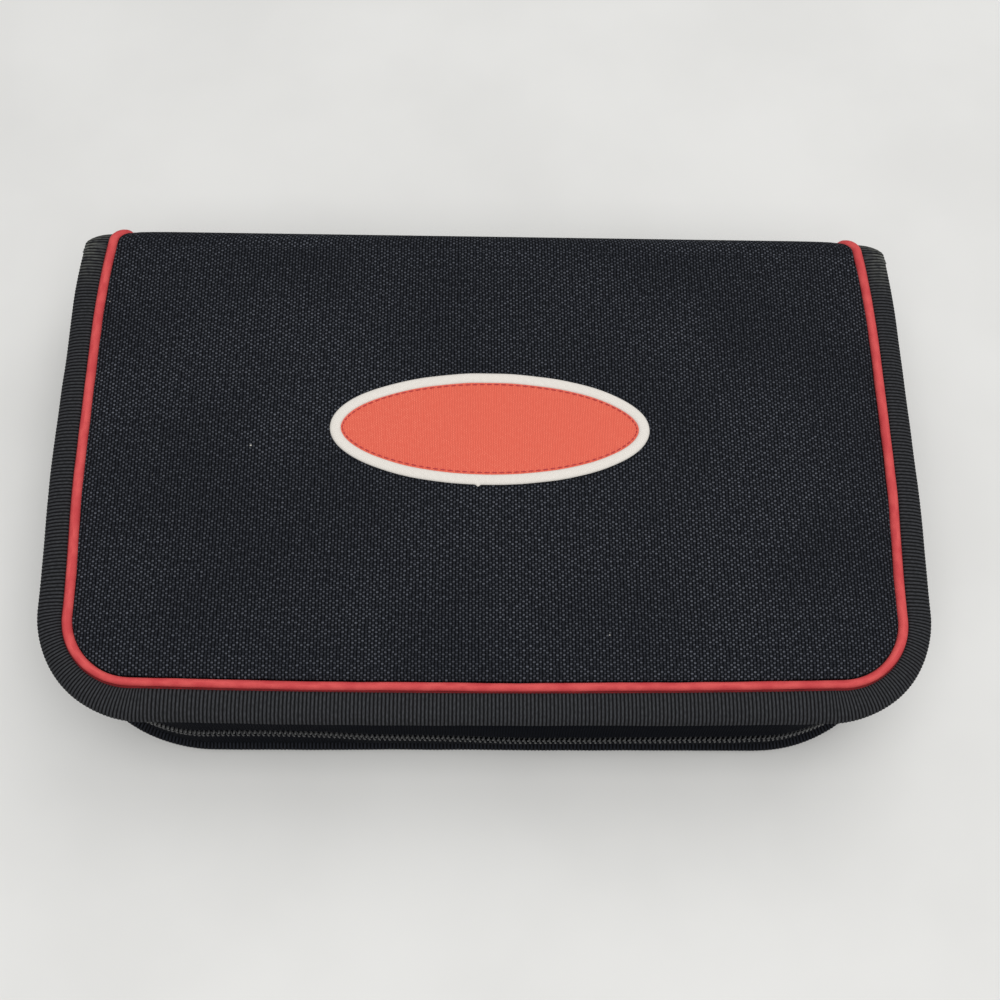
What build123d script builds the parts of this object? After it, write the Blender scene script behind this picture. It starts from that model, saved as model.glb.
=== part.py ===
"""Travel word tile game case: a zip-round folio that folds open like a book.

A padded fabric lid and base, each edged with red piping and a ribbed binding, are joined by a narrow spine.
A zip closes the other three sides. The base holds a two-part folding board and four tile racks, and the lid
holds a bag of letter tiles and a score pad in two pockets. All sizes are in millimetres.

X runs along the spine, Y from the front opening (-) to the spine (+) and Z up. The origin is the centre of
the closed case at the level that it stands on.
"""

from build123d import *
from math import atan2, cos, pi, sin
import os

# ---------------------------------------------------------------- overall sizes
CASE_WIDTH = 266.0  # X, over the edge binding
CASE_DEPTH = 163.0  # Y, front binding to the back of the spine
CASE_HEIGHT = 45.0  # Z, closed, without the badge
FRONT_CORNER = 37.0  # plan radius of the two front corners
SIDE_TUCK = 4.0  # each side draws in by this much where it meets the spine
TUCK_LENGTH = 24.0  # length of side over which it draws in

# ---------------------------------------------------------------- cover layers, from outside to inside
FABRIC = 0.8
FOAM = 3.2
STIFFENER = 1.2
LINING = 0.8
PANEL = FABRIC + FOAM + STIFFENER + LINING

# ---------------------------------------------------------------- folds and spine
FOLD_RADIUS = 6.0  # outer radius of the fold on each side of the spine
FOLD_SLIT = 0.5  # free slit between a cover's layers and the fold
SPINE_FOAM = 2.9
SPINE_PANEL = FABRIC + SPINE_FOAM + STIFFENER + LINING

# ---------------------------------------------------------------- edge binding and piping
BINDING_WIDTH = 8.9  # outer face of the ribbed binding, from the edge to the piping
BINDING_INNER = 7.8  # inner face of the same ribbon, from the edge
BINDING_WRAP = 1.65  # radius of the ribbon where it wraps the edge
BINDING_DROP = 1.9  # the ribbon's outer face lies this much behind the crown beside the piping
BINDING_SPINE = 1.0  # thickness of the ribbon on the spine
STIFFENER_INSET = 1.2  # stiffener's edge, from the edge of the case
PIPING_RADIUS = 1.5
PIPING_PROUD = 0.6  # the piping stops this short of the crown's height
SEAM_GAP = 0.1  # between sewn pieces that lie side by side

# ---------------------------------------------------------------- crown of the padded panels
CROWN_WIDTH = 16.0  # from the seam to where the panel becomes flat
CROWN_DROP = 1.7  # height lost at the seam
CROWN_STEPS = 6
SMALLEST_CORNER = 4.0  # plan radius that no inner outline goes under

# ---------------------------------------------------------------- zip
COIL_INSET = 5.5  # middle of the coil, from the side edge of the case
FRONT_BULGE = 4.4  # the zip stands this much further out along the front
TAPE_LEAN = 1.3  # the tape's sewn foot, further in than the coil
TAPE = 0.8
COIL_WIDTH = 2.6  # of one half, across the zip
COIL_THICKNESS = 2.2
COIL_GAP = 1.0  # between the two halves, for the slider's wedge
COIL_END = 7.0  # coils stop this far in front of the covers' back edge
TAPE_SPINE_GAP = 0.3  # tapes to the spine's lining
STOP_LENGTH = 2.5
STOP_THICKNESS = 3.0

SLIDER_LENGTH = 12.0
SLIDER_HEIGHT = 8.4
SLIDER_PLATE = 1.05
SLIDER_PARK = 0.5  # parked slider to the end stop
SLIDE_CLEARANCE = 0.15  # coil to slider plate
FLANGE_GAP = 0.6  # slider flange to the middle of the tape
FLANGE_CLEARANCE = 0.2  # coil to slider flange, and coil to wedge
WEDGE_LENGTH = 3.5
BRIDGE_LENGTH = 8.0  # loop on the slider that holds the pull
BRIDGE_WIDTH = 2.0
BRIDGE_LEG = 1.0
BRIDGE_BAR = 0.8
PULL_BAR_RADIUS = 0.5
PULL_CLEARANCE = 0.2
PULL_ARM = 1.2
PULL_THICKNESS = 1.1
PULL_WIDTH = 6.4
PULL_LENGTH = 30.0
PULL_LOOP = 5.6  # open length of the loop that goes round the bridge

# ---------------------------------------------------------------- folding board
COLUMNS = 15
LOWER_ROWS = 8
UPPER_ROWS = 7
BOARD_SIDE_INSET = 20.25  # ends of the board, from the side edges of the case
BOARD_POCKET_GAP = 4.1  # folded board to the lid's tile pocket
BOARD_RIM = 4.0
HINGE_RIM = 2.8
BOARD_FLOOR = 2.5
RIDGE = 1.0  # thickness of the ridges between squares
RIDGE_HEIGHT = 2.0
BOARD_LIFT = 0.3  # board to lining
BOARD_SPINE_GAP = 2.7  # board to the spine's lining
BOARD_FOLD_GAP = 0.3  # between the two halves, folded or open
BARREL_RADIUS = 2.2
BARREL_CLEARANCE = 0.3
MIDDLE_BARREL = 12.0
SIDE_BARREL = 8.0
HINGE_STATIONS = 3
HINGE_END_INSET = 37.75  # outer hinges, from the ends of the board
PIN_RADIUS = 0.9
PIN_CLEARANCE = 0.05
EAR_WIDTH = 8.0
EAR_LENGTH = 10.0
EAR_OVERLAP = 1.0  # of the ear with the board's rim
EAR_END_INSET = 16.4  # ears, from the front and the hinge line of the board
RIVET_SHANK = 1.5
RIVET_HEAD = 2.8
RIVET_HEAD_HEIGHT = 1.0
RIVET_CLEARANCE = 0.1

# ---------------------------------------------------------------- racks
RACK_CORNER_REACH = 5.0  # racks reach this far past the centres of the case's front corners
RACK_FRONT_INSET = 8.5  # racks, from the front edge of the case
RACK_DEPTH = 11.0
RACK_POCKET_GAP = 3.7  # top of the racks to the lid's tile pocket
RACK_LIP = 3.4
RACK_WALL = 1.2
RACK_FLOOR = 1.8
RACK_LEDGE = 4.6  # a tile's thickness and room to lift it out
RACK_GAP = 0.3
RACK_MIDDLE_GAP = 6.0
RACK_BOARD_GAP = 1.0  # leaves room for the straps
STRAP = 0.5
STRAP_WIDTH = 10.0
STRAP_GAP = 0.1

# ---------------------------------------------------------------- tiles, bag, pad and pockets
TILE_CLEARANCE = 1.3  # a tile is this much smaller than its square
TILE_THICKNESS = 4.0
TILE_GAP = 0.3
TILE_LAYER_GAP = 0.05
TILE_COLUMNS = 7
TILE_ROWS = 5
TILE_LAYERS = 3
TILE_COUNT = 100
TILE_FILLET = 0.6
BAG_WALL = 0.6
BAG_SIDE = 2.2
BAG_FILLET = 2.6
POCKET_SHEET = 0.6
POCKET_SLACK = 0.15
POCKET_OPEN_GAP = 13.45  # pockets' mouths to the end of the unfolded board, with the case open
POCKET_MIDDLE_GAP = 8.0
POCKET_SLACK_SIDE = 1.0
PAD_SIDE_SLACK = 3.5  # pocket is this much longer than the score pad
PAD_MOUTH_SLACK = 3.35
PAD_THICKNESS = 4.0

# ---------------------------------------------------------------- badge on the lid
BADGE_LENGTH = 98.0
BADGE_WIDTH = 37.5
BADGE_BORDER = 4.0
BADGE_FIELD_THICKNESS = 0.9
BADGE_BORDER_THICKNESS = 1.3
BADGE_X = 0.3
BADGE_Y = 9.2

# ---------------------------------------------------------------- places worked out from the sizes
HALF_WIDTH = CASE_WIDTH / 2
HALF_DEPTH = CASE_DEPTH / 2
MIDDLE = CASE_HEIGHT / 2
COVER_BACK = HALF_DEPTH - FOLD_RADIUS - FOLD_SLIT
FOLD_CENTRE_Y = HALF_DEPTH - FOLD_RADIUS
PIPING_INSET = BINDING_WIDTH + SEAM_GAP + PIPING_RADIUS
PIPING_LEVEL = PIPING_PROUD + PIPING_RADIUS
PANEL_INSET = PIPING_INSET + PIPING_RADIUS + SEAM_GAP
LID_UNDERSIDE = CASE_HEIGHT - PANEL
SPINE_INSIDE = HALF_DEPTH - SPINE_PANEL
STIFFENER_BOTTOM = FABRIC + FOAM
STIFFENER_TOP = STIFFENER_BOTTOM + STIFFENER
BINDING_MIDDLE = (STIFFENER_BOTTOM + STIFFENER_TOP) / 2
BINDING_TOP = BINDING_MIDDLE + BINDING_WRAP
MID_PLANE = Plane.XY.offset(MIDDLE)
COIL_INNER_EDGE = MIDDLE - COIL_GAP / 2
COIL_OUTER_EDGE = COIL_INNER_EDGE - COIL_WIDTH
COIL_BACK = COVER_BACK - COIL_END
TAPE_BACK = SPINE_INSIDE - TAPE_SPINE_GAP
TUCK_TURN = 2 * atan2(SIDE_TUCK, TUCK_LENGTH)
SPINE_HALF = HALF_WIDTH - SIDE_TUCK
FOLD_AXIS_INSET = FOLD_RADIUS * (1 - pi / 4)  # keeps the fold's length when the case opens flat

RACK_LENGTH = HALF_WIDTH - FRONT_CORNER + RACK_CORNER_REACH - RACK_MIDDLE_GAP / 2
RACK_FRONT = -HALF_DEPTH + RACK_FRONT_INSET
RACK_BACK = RACK_FRONT + 2 * RACK_DEPTH + RACK_GAP

BOARD_WIDTH = CASE_WIDTH - 2 * BOARD_SIDE_INSET
BOARD_HINGE_Y = SPINE_INSIDE - BOARD_SPINE_GAP
LOWER_DEPTH = BOARD_HINGE_Y - RACK_BACK - RACK_BOARD_GAP
SQUARE_WIDTH = (BOARD_WIDTH - 2 * BOARD_RIM) / COLUMNS
SQUARE_DEPTH = (LOWER_DEPTH - BOARD_RIM - HINGE_RIM) / LOWER_ROWS
UPPER_DEPTH = UPPER_ROWS * SQUARE_DEPTH + BOARD_RIM + HINGE_RIM
HINGE_SPACING = (BOARD_WIDTH - 2 * HINGE_END_INSET) / (HINGE_STATIONS - 1)
HINGE_LENGTH = MIDDLE_BARREL + 2 * SIDE_BARREL + 4 * BARREL_CLEARANCE
HINGE_CENTRES = [(station - (HINGE_STATIONS - 1) / 2) * HINGE_SPACING for station in range(HINGE_STATIONS)]

TILE_SIZE = min(SQUARE_WIDTH, SQUARE_DEPTH) - TILE_CLEARANCE
STACK_WIDTH = TILE_COLUMNS * TILE_SIZE + (TILE_COLUMNS - 1) * TILE_GAP
STACK_DEPTH = TILE_ROWS * TILE_SIZE + (TILE_ROWS - 1) * TILE_GAP
STACK_HEIGHT = TILE_LAYERS * TILE_THICKNESS + (TILE_LAYERS - 1) * TILE_LAYER_GAP
BAG_WIDTH = STACK_WIDTH + 2 * (TILE_GAP + BAG_SIDE)
BAG_DEPTH = STACK_DEPTH + 2 * (TILE_GAP + BAG_SIDE)
BAG_HEIGHT = STACK_HEIGHT + 2 * (TILE_LAYER_GAP + BAG_WALL)
POCKET_WIDTH = BAG_WIDTH + 2 * (POCKET_SLACK + POCKET_SHEET)
POCKET_DEPTH = BAG_DEPTH + POCKET_SLACK + POCKET_SHEET + POCKET_SLACK_SIDE
TILE_POCKET_BOTTOM = LID_UNDERSIDE - BAG_HEIGHT - 2 * POCKET_SLACK - POCKET_SHEET

RACK_HEIGHT = TILE_POCKET_BOTTOM - RACK_POCKET_GAP - PANEL
BOARD_BOTTOM = PANEL + BOARD_LIFT
BOARD_HEIGHT = (TILE_POCKET_BOTTOM - BOARD_POCKET_GAP - BOARD_FOLD_GAP - BOARD_BOTTOM) / 2
BOARD_HINGE_Z = BOARD_BOTTOM + BOARD_HEIGHT + BOARD_FOLD_GAP / 2
OPEN_SHIFT = CASE_HEIGHT - 4 * FOLD_AXIS_INSET + 2 * (HALF_DEPTH - BOARD_HINGE_Y)
POCKET_BACK = BOARD_HINGE_Y - UPPER_DEPTH + OPEN_SHIFT - POCKET_OPEN_GAP

EAR_X = BOARD_WIDTH / 2 + EAR_LENGTH / 2 - EAR_OVERLAP
EAR_Y = BOARD_HINGE_Y - LOWER_DEPTH / 2
EAR_SPACING = LOWER_DEPTH - 2 * EAR_END_INSET

os.makedirs("parts", exist_ok=True)


def finish(builder, label):
    """Labels a finished sub-part and writes it to its own STEP file."""
    builder.part.label = label
    export_step(builder.part, f"parts/{label}.step")


def edge_line(inset, back, tucked=True, bulge=0):
    """Draws the case's edge line, from the back of the left side round the front to the back of the right side.

    The line is moved in by inset. Where the sides draw in towards the spine it follows two arcs, and bulge moves
    its front out again.
    """
    half = HALF_WIDTH - inset
    front = -HALF_DEPTH + inset - bulge
    radius = max(FRONT_CORNER - inset, SMALLEST_CORNER)
    side_end = back - TUCK_LENGTH if tucked else back
    if tucked:
        turn_x = HALF_WIDTH - SIDE_TUCK / 2 - inset * cos(TUCK_TURN)
        turn_y = back - TUCK_LENGTH / 2 - inset * sin(TUCK_TURN)
        first = TangentArc((SIDE_TUCK - half, back), (-turn_x, turn_y), tangent=(0, -1))
        TangentArc((-turn_x, turn_y), (-half, side_end), tangent=first % 1)
    Line((-half, side_end), (-half, front + radius))
    RadiusArc((-half, front + radius), (-half + radius, front), -radius)
    Line((-half + radius, front), (half - radius, front))
    RadiusArc((half - radius, front), (half, front + radius), -radius)
    Line((half, front + radius), (half, side_end))
    if tucked:
        last = TangentArc((half, side_end), (turn_x, turn_y), tangent=(0, 1))
        TangentArc((turn_x, turn_y), (half - SIDE_TUCK, back), tangent=last % 1)


def cover_face(inset, back=COVER_BACK):
    """Fills the case's outline, moved in by inset, in the current sketch."""
    end_x = HALF_WIDTH - SIDE_TUCK - inset
    with BuildLine() as outline:
        edge_line(inset, back)
        Line((end_x, back), (-end_x, back))
    make_face(outline.edges())


def section_plane(inset, back, tuck=SIDE_TUCK):
    """Plane across the edge line at its left end, where a point is (further inset, height)."""
    return Plane(origin=(tuck + inset - HALF_WIDTH, back, 0), x_dir=(1, 0, 0), z_dir=(0, -1, 0))


def crowned_solid(depth):
    """Padded panel of the base, this far inside its outer face, with an elliptical roll round its edge."""
    turns = [step * pi / 2 / CROWN_STEPS for step in range(CROWN_STEPS + 1)]
    levels = [(STIFFENER_BOTTOM, PANEL_INSET + depth)]
    for turn in turns:
        level = depth + CROWN_DROP * (1 - sin(turn))
        levels.append((level, PANEL_INSET + depth + CROWN_WIDTH * (1 - cos(turn))))
    with BuildPart() as panel:
        for level, inset in levels:
            with BuildSketch(Plane.XY.offset(level)):
                cover_face(inset)
        loft(ruled=True)
    return panel.part


def lid_copy(base_part):
    """The lid's copy of a part of the base, mirrored in the plane halfway up the closed case."""
    return base_part.mirror(MID_PLANE)


# ================================================================ covers
outside_solid = crowned_solid(0)
inside_solid = crowned_solid(FABRIC)

with BuildPart() as base_cover:
    add(outside_solid)
    add(inside_solid, mode=Mode.SUBTRACT)

with BuildPart() as base_foam:
    add(inside_solid)

rivet_places = GridLocations(2 * EAR_X, EAR_SPACING, 2, 2)

with BuildPart() as base_stiffener:
    with BuildSketch(Plane.XY.offset(STIFFENER_BOTTOM)):
        cover_face(STIFFENER_INSET)
        with Locations((0, EAR_Y)), rivet_places:
            Circle(RIVET_SHANK + RIVET_CLEARANCE, mode=Mode.SUBTRACT)
    extrude(amount=STIFFENER)

with BuildPart() as base_lining:
    with BuildSketch(Plane.XY.offset(STIFFENER_TOP)):
        cover_face(BINDING_INNER + SEAM_GAP)
        with Locations((0, EAR_Y)), rivet_places:
            Circle(RIVET_SHANK + RIVET_CLEARANCE, mode=Mode.SUBTRACT)
    extrude(amount=LINING)

with BuildPart() as lid_stiffener:
    with BuildSketch(Plane.XY.offset(CASE_HEIGHT - STIFFENER_TOP)):
        cover_face(STIFFENER_INSET)
    extrude(amount=STIFFENER)

with BuildPart() as lid_lining:
    with BuildSketch(Plane.XY.offset(LID_UNDERSIDE)):
        cover_face(BINDING_INNER + SEAM_GAP)
    extrude(amount=LINING)

with BuildPart() as base_binding:
    with BuildLine() as binding_path:
        edge_line(0, COVER_BACK)
    with BuildSketch(section_plane(0, COVER_BACK)):
        with BuildLine():
            Polyline(
                (BINDING_WRAP, BINDING_MIDDLE - BINDING_WRAP),
                (BINDING_WIDTH, BINDING_DROP),
                (BINDING_WIDTH, STIFFENER_BOTTOM),
                (STIFFENER_INSET, STIFFENER_BOTTOM),
                (STIFFENER_INSET, STIFFENER_TOP),
                (BINDING_INNER, STIFFENER_TOP),
                (BINDING_INNER, BINDING_TOP),
                (BINDING_WRAP, BINDING_TOP),
            )
            ThreePointArc(
                (BINDING_WRAP, BINDING_TOP),
                (0, BINDING_MIDDLE),
                (BINDING_WRAP, BINDING_MIDDLE - BINDING_WRAP),
            )
        make_face()
    sweep(path=binding_path.wires()[0])

with BuildPart() as base_piping:
    with BuildLine() as piping_path:
        edge_line(PIPING_INSET, COVER_BACK)
    with BuildSketch(section_plane(PIPING_INSET, COVER_BACK)):
        with Locations((0, PIPING_LEVEL)):
            Circle(PIPING_RADIUS)
    sweep(path=piping_path.wires()[0])

finish(base_cover, "base_cover_fabric")
finish(base_foam, "base_foam_pad")
finish(base_stiffener, "base_stiffener")
finish(base_lining, "base_lining")
finish(base_binding, "base_edge_binding")
finish(base_piping, "base_piping")

for source, label in (
    (base_cover, "lid_cover_fabric"),
    (base_foam, "lid_foam_pad"),
    (base_binding, "lid_edge_binding"),
    (base_piping, "lid_piping"),
):
    with BuildPart() as lid_piece:
        add(lid_copy(source.part))
    finish(lid_piece, label)
finish(lid_stiffener, "lid_stiffener")
finish(lid_lining, "lid_lining")

# ================================================================ spine
spine_low = FOLD_RADIUS
spine_high = CASE_HEIGHT - FOLD_RADIUS
spine_height = spine_high - spine_low


def fold_line(depth):
    """Draws the line over both folds and down the spine, this far inside the outer face, on the YZ plane."""
    radius = FOLD_RADIUS - depth
    out = FOLD_CENTRE_Y + radius
    CenterArc((FOLD_CENTRE_Y, spine_high), radius, 90, -90)
    Line((out, spine_high), (out, spine_low))
    CenterArc((FOLD_CENTRE_Y, spine_low), radius, 0, -90)


def fold_sheet(outer_depth, thickness):
    """Fills the sheet that wraps both folds and the spine between two depths, in the current sketch."""
    inner_depth = outer_depth + thickness
    with BuildLine() as outline:
        fold_line(outer_depth)
        Line((FOLD_CENTRE_Y, outer_depth), (FOLD_CENTRE_Y, inner_depth))
        fold_line(inner_depth)
        Line(
            (FOLD_CENTRE_Y, CASE_HEIGHT - inner_depth),
            (FOLD_CENTRE_Y, CASE_HEIGHT - outer_depth),
        )
    make_face(outline.edges())


with BuildPart() as spine_cover:
    with BuildSketch(Plane.YZ):
        fold_sheet(0, FABRIC)
    extrude(amount=SPINE_HALF - PANEL_INSET, both=True)

with BuildPart() as spine_binding:
    for side in (-1, 1):
        middle_x = side * (SPINE_HALF - BINDING_WIDTH / 2)
        with BuildSketch(Plane.YZ.offset(middle_x)):
            fold_sheet(BINDING_DROP, BINDING_SPINE)
        extrude(amount=BINDING_WIDTH / 2, both=True)

with BuildPart() as spine_piping:
    for side in (-1, 1):
        x = side * (SPINE_HALF - PIPING_INSET)
        with BuildLine(Plane.YZ.offset(x)) as cord_line:
            fold_line(PIPING_LEVEL)
        start = Plane(origin=cord_line.wires()[0] @ 0, z_dir=cord_line.wires()[0] % 0)
        with BuildSketch(start):
            Circle(PIPING_RADIUS)
        sweep(path=cord_line.wires()[0])


def spine_layer(start_depth, thickness, half_length):
    """One flat layer of the spine between the folds, at a depth from its outer face."""
    with BuildPart() as layer:
        with Locations((0, HALF_DEPTH - start_depth - thickness / 2, MIDDLE)):
            Box(2 * half_length, thickness, spine_height)
    return layer


spine_pad = spine_layer(FABRIC, SPINE_FOAM, SPINE_HALF - PANEL_INSET)
spine_board = spine_layer(FABRIC + SPINE_FOAM, STIFFENER, SPINE_HALF - STIFFENER_INSET)
spine_lining = spine_layer(FABRIC + SPINE_FOAM + STIFFENER, LINING, SPINE_HALF - STIFFENER_INSET)

finish(spine_cover, "spine_cover_fabric")
finish(spine_binding, "spine_edge_binding")
finish(spine_piping, "spine_piping")
finish(spine_pad, "spine_foam_pad")
finish(spine_board, "spine_stiffener")
finish(spine_lining, "spine_lining")

# ================================================================ zip
with BuildPart() as lower_tape:
    with BuildLine() as tape_path:
        edge_line(COIL_INSET, TAPE_BACK, tucked=False, bulge=FRONT_BULGE)
    with BuildSketch(section_plane(COIL_INSET, TAPE_BACK, tuck=0)):
        with BuildLine():
            Polyline(
                (TAPE_LEAN - TAPE / 2, BINDING_TOP),
                (TAPE_LEAN + TAPE / 2, BINDING_TOP),
                (TAPE / 2, COIL_OUTER_EDGE),
                (-TAPE / 2, COIL_OUTER_EDGE),
                close=True,
            )
        make_face()
    sweep(path=tape_path.wires()[0])

with BuildPart() as lower_coil:
    with BuildLine() as coil_path:
        edge_line(COIL_INSET, COIL_BACK, tucked=False, bulge=FRONT_BULGE)
    with BuildSketch(section_plane(COIL_INSET, COIL_BACK, tuck=0)):
        with Locations((0, COIL_OUTER_EDGE + COIL_WIDTH / 2)):
            Rectangle(COIL_THICKNESS, COIL_WIDTH)
    sweep(path=coil_path.wires()[0])

coil_x = HALF_WIDTH - COIL_INSET
with BuildPart() as lower_stops:
    for side in (-1, 1):
        with Locations((side * coil_x, COIL_BACK + STOP_LENGTH / 2, COIL_OUTER_EDGE + COIL_WIDTH / 2)):
            Box(STOP_THICKNESS, STOP_LENGTH, COIL_WIDTH)
    fillet(lower_stops.edges().filter_by(Axis.Y), radius=min(STOP_THICKNESS, COIL_WIDTH) * 0.2)

finish(lower_tape, "lower_zip_tape")
finish(lower_coil, "lower_zip_coil")
finish(lower_stops, "lower_zip_stops")
for source, label in (
    (lower_tape, "upper_zip_tape"),
    (lower_coil, "upper_zip_coil"),
    (lower_stops, "upper_zip_stops"),
):
    with BuildPart() as upper_piece:
        add(lid_copy(source.part))
    finish(upper_piece, label)

# ---------------------------------------------------------------- slider, with its nose towards the spine
slider_y = COIL_BACK - SLIDER_PARK - SLIDER_LENGTH / 2
plate_inside = COIL_THICKNESS / 2 + SLIDE_CLEARANCE
plate_outside = plate_inside + SLIDER_PLATE
flange_top = COIL_OUTER_EDGE - FLANGE_CLEARANCE
slider_bottom = MIDDLE - SLIDER_HEIGHT / 2
wedge_height = COIL_GAP - 2 * FLANGE_CLEARANCE
bridge_inside_x = coil_x + plate_outside + 2 * (PULL_BAR_RADIUS + PULL_CLEARANCE)

with BuildPart() as slider:
    for side in (-1, 1):
        middle_x = coil_x + side * (plate_inside + plate_outside) / 2
        with BuildSketch(Plane.YZ.offset(middle_x)):
            with Locations((slider_y, MIDDLE)):
                RectangleRounded(SLIDER_LENGTH, SLIDER_HEIGHT, SLIDER_HEIGHT / 4)
        extrude(amount=SLIDER_PLATE / 2, both=True)
        flange_x = coil_x + side * (FLANGE_GAP + plate_inside) / 2
        with Locations((flange_x, slider_y, (slider_bottom + flange_top) / 2)):
            Box(plate_inside - FLANGE_GAP, SLIDER_LENGTH * 0.6, flange_top - slider_bottom)
    with Locations((coil_x, slider_y + SLIDER_LENGTH / 2 - WEDGE_LENGTH / 2, MIDDLE)):
        Box(2 * plate_inside, WEDGE_LENGTH, wedge_height)
    with BuildSketch(Plane.XY.offset(MIDDLE)):
        bridge_middle_x = (coil_x + plate_outside + bridge_inside_x + BRIDGE_BAR) / 2
        with Locations((bridge_middle_x, slider_y)):
            Rectangle(bridge_inside_x + BRIDGE_BAR - coil_x - plate_outside, BRIDGE_LENGTH)
        with Locations(((coil_x + plate_outside + bridge_inside_x) / 2, slider_y)):
            Rectangle(
                bridge_inside_x - coil_x - plate_outside,
                BRIDGE_LENGTH - 2 * BRIDGE_LEG,
                mode=Mode.SUBTRACT,
            )
    extrude(amount=BRIDGE_WIDTH / 2, both=True)
finish(slider, "zip_slider")

# ---------------------------------------------------------------- pull tab, lying along the zip towards the front
pull_axis_x = coil_x + plate_outside + PULL_BAR_RADIUS + PULL_CLEARANCE
arm_inside = BRIDGE_WIDTH / 2 + PULL_CLEARANCE
arm_outside = arm_inside + PULL_ARM
with BuildPart() as pull:
    with BuildSketch(Plane.YZ.offset(pull_axis_x)):
        with Locations((slider_y - PULL_LOOP / 2, MIDDLE)):
            Rectangle(PULL_LOOP, 2 * arm_outside)
            Rectangle(PULL_LOOP, 2 * arm_inside, mode=Mode.SUBTRACT)
        with Locations((slider_y - (PULL_LOOP + PULL_LENGTH) / 2, MIDDLE)):
            RectangleRounded(PULL_LENGTH - PULL_LOOP, PULL_WIDTH, PULL_WIDTH * 0.3)
    extrude(amount=PULL_THICKNESS / 2, both=True)
    with Locations((pull_axis_x, slider_y, MIDDLE)):
        Cylinder(PULL_BAR_RADIUS, 2 * arm_outside)
finish(pull, "zip_pull")


# ================================================================ folding board
def board_tray(rows, own_middle):
    """Half of the board beside its hinge line, which is X through the origin, with the squares facing up.

    own_middle says whether this half carries the middle barrel of each hinge or the two side ones.
    """
    depth = rows * SQUARE_DEPTH + BOARD_RIM + HINGE_RIM
    top = -BOARD_FOLD_GAP / 2
    back = -BOARD_FOLD_GAP / 2
    side_x = MIDDLE_BARREL / 2 + BARREL_CLEARANCE + SIDE_BARREL / 2
    own = ((0, MIDDLE_BARREL),) if own_middle else ((-side_x, SIDE_BARREL), (side_x, SIDE_BARREL))
    along_x = Plane(origin=(0, 0, 0), x_dir=(0, 1, 0), z_dir=(1, 0, 0))
    with BuildPart() as tray:
        with BuildSketch(Plane.XY.offset(top)):
            with Locations((0, (back - depth) / 2)):
                Rectangle(BOARD_WIDTH, depth + back)
        extrude(amount=-BOARD_HEIGHT)
        with BuildSketch(Plane.XY.offset(top)):
            with Locations((0, -HINGE_RIM - rows * SQUARE_DEPTH / 2)):
                Rectangle(COLUMNS * SQUARE_WIDTH, rows * SQUARE_DEPTH)
        extrude(amount=-(BOARD_HEIGHT - BOARD_FLOOR), mode=Mode.SUBTRACT)
        for x in HINGE_CENTRES:
            with Locations(along_x.offset(x)):
                Cylinder(BARREL_RADIUS + BARREL_CLEARANCE, HINGE_LENGTH, mode=Mode.SUBTRACT)
            for offset_x, length in own:
                with Locations(along_x.offset(x + offset_x)):
                    Cylinder(BARREL_RADIUS, length)
                with BuildSketch(along_x.offset(x + offset_x)):
                    with Locations((-HINGE_RIM / 2, -BARREL_RADIUS)):
                        Rectangle(HINGE_RIM, 2 * BARREL_RADIUS)
                extrude(amount=length / 2, both=True)
            with Locations(along_x.offset(x)):
                Cylinder(PIN_RADIUS + PIN_CLEARANCE, HINGE_LENGTH, mode=Mode.SUBTRACT)
    return tray.part


def board_grid(rows):
    """Ridges between the squares of one half, in the same place as its tray."""
    floor = -BOARD_FOLD_GAP / 2 - BOARD_HEIGHT + BOARD_FLOOR
    with BuildPart() as grid:
        with BuildSketch(Plane.XY.offset(floor)):
            with Locations((0, -HINGE_RIM - rows * SQUARE_DEPTH / 2)):
                Rectangle(COLUMNS * SQUARE_WIDTH, rows * SQUARE_DEPTH)
                with GridLocations(SQUARE_WIDTH, SQUARE_DEPTH, COLUMNS, rows):
                    Rectangle(SQUARE_WIDTH - RIDGE, SQUARE_DEPTH - RIDGE, mode=Mode.SUBTRACT)
        extrude(amount=RIDGE_HEIGHT)
    return grid.part


hinge_place = Location((0, BOARD_HINGE_Y, BOARD_HINGE_Z))

with BuildPart() as board_lower:
    add(board_tray(LOWER_ROWS, own_middle=True).moved(hinge_place))
    with BuildSketch(Plane.XY.offset(BOARD_BOTTOM)):
        with Locations((0, EAR_Y)), rivet_places:
            RectangleRounded(EAR_LENGTH, EAR_WIDTH, EAR_WIDTH / 4)
    extrude(amount=BOARD_FLOOR)
    with BuildSketch(Plane.XY.offset(BOARD_BOTTOM)):
        with Locations((0, EAR_Y)), rivet_places:
            Circle(RIVET_SHANK + RIVET_CLEARANCE)
    extrude(amount=BOARD_FLOOR, mode=Mode.SUBTRACT)

with BuildPart() as board_upper:
    add(board_tray(UPPER_ROWS, own_middle=False).mirror(Plane.XY).moved(hinge_place))

with BuildPart() as grid_lower:
    add(board_grid(LOWER_ROWS).moved(hinge_place))

with BuildPart() as grid_upper:
    add(board_grid(UPPER_ROWS).mirror(Plane.XY).moved(hinge_place))

with BuildPart() as hinge_pins:
    pin_plane = Plane(origin=(0, BOARD_HINGE_Y, BOARD_HINGE_Z), x_dir=(0, 1, 0), z_dir=(1, 0, 0))
    for x in HINGE_CENTRES:
        with Locations(pin_plane.offset(x)):
            Cylinder(PIN_RADIUS, HINGE_LENGTH - 2 * BARREL_CLEARANCE)

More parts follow.
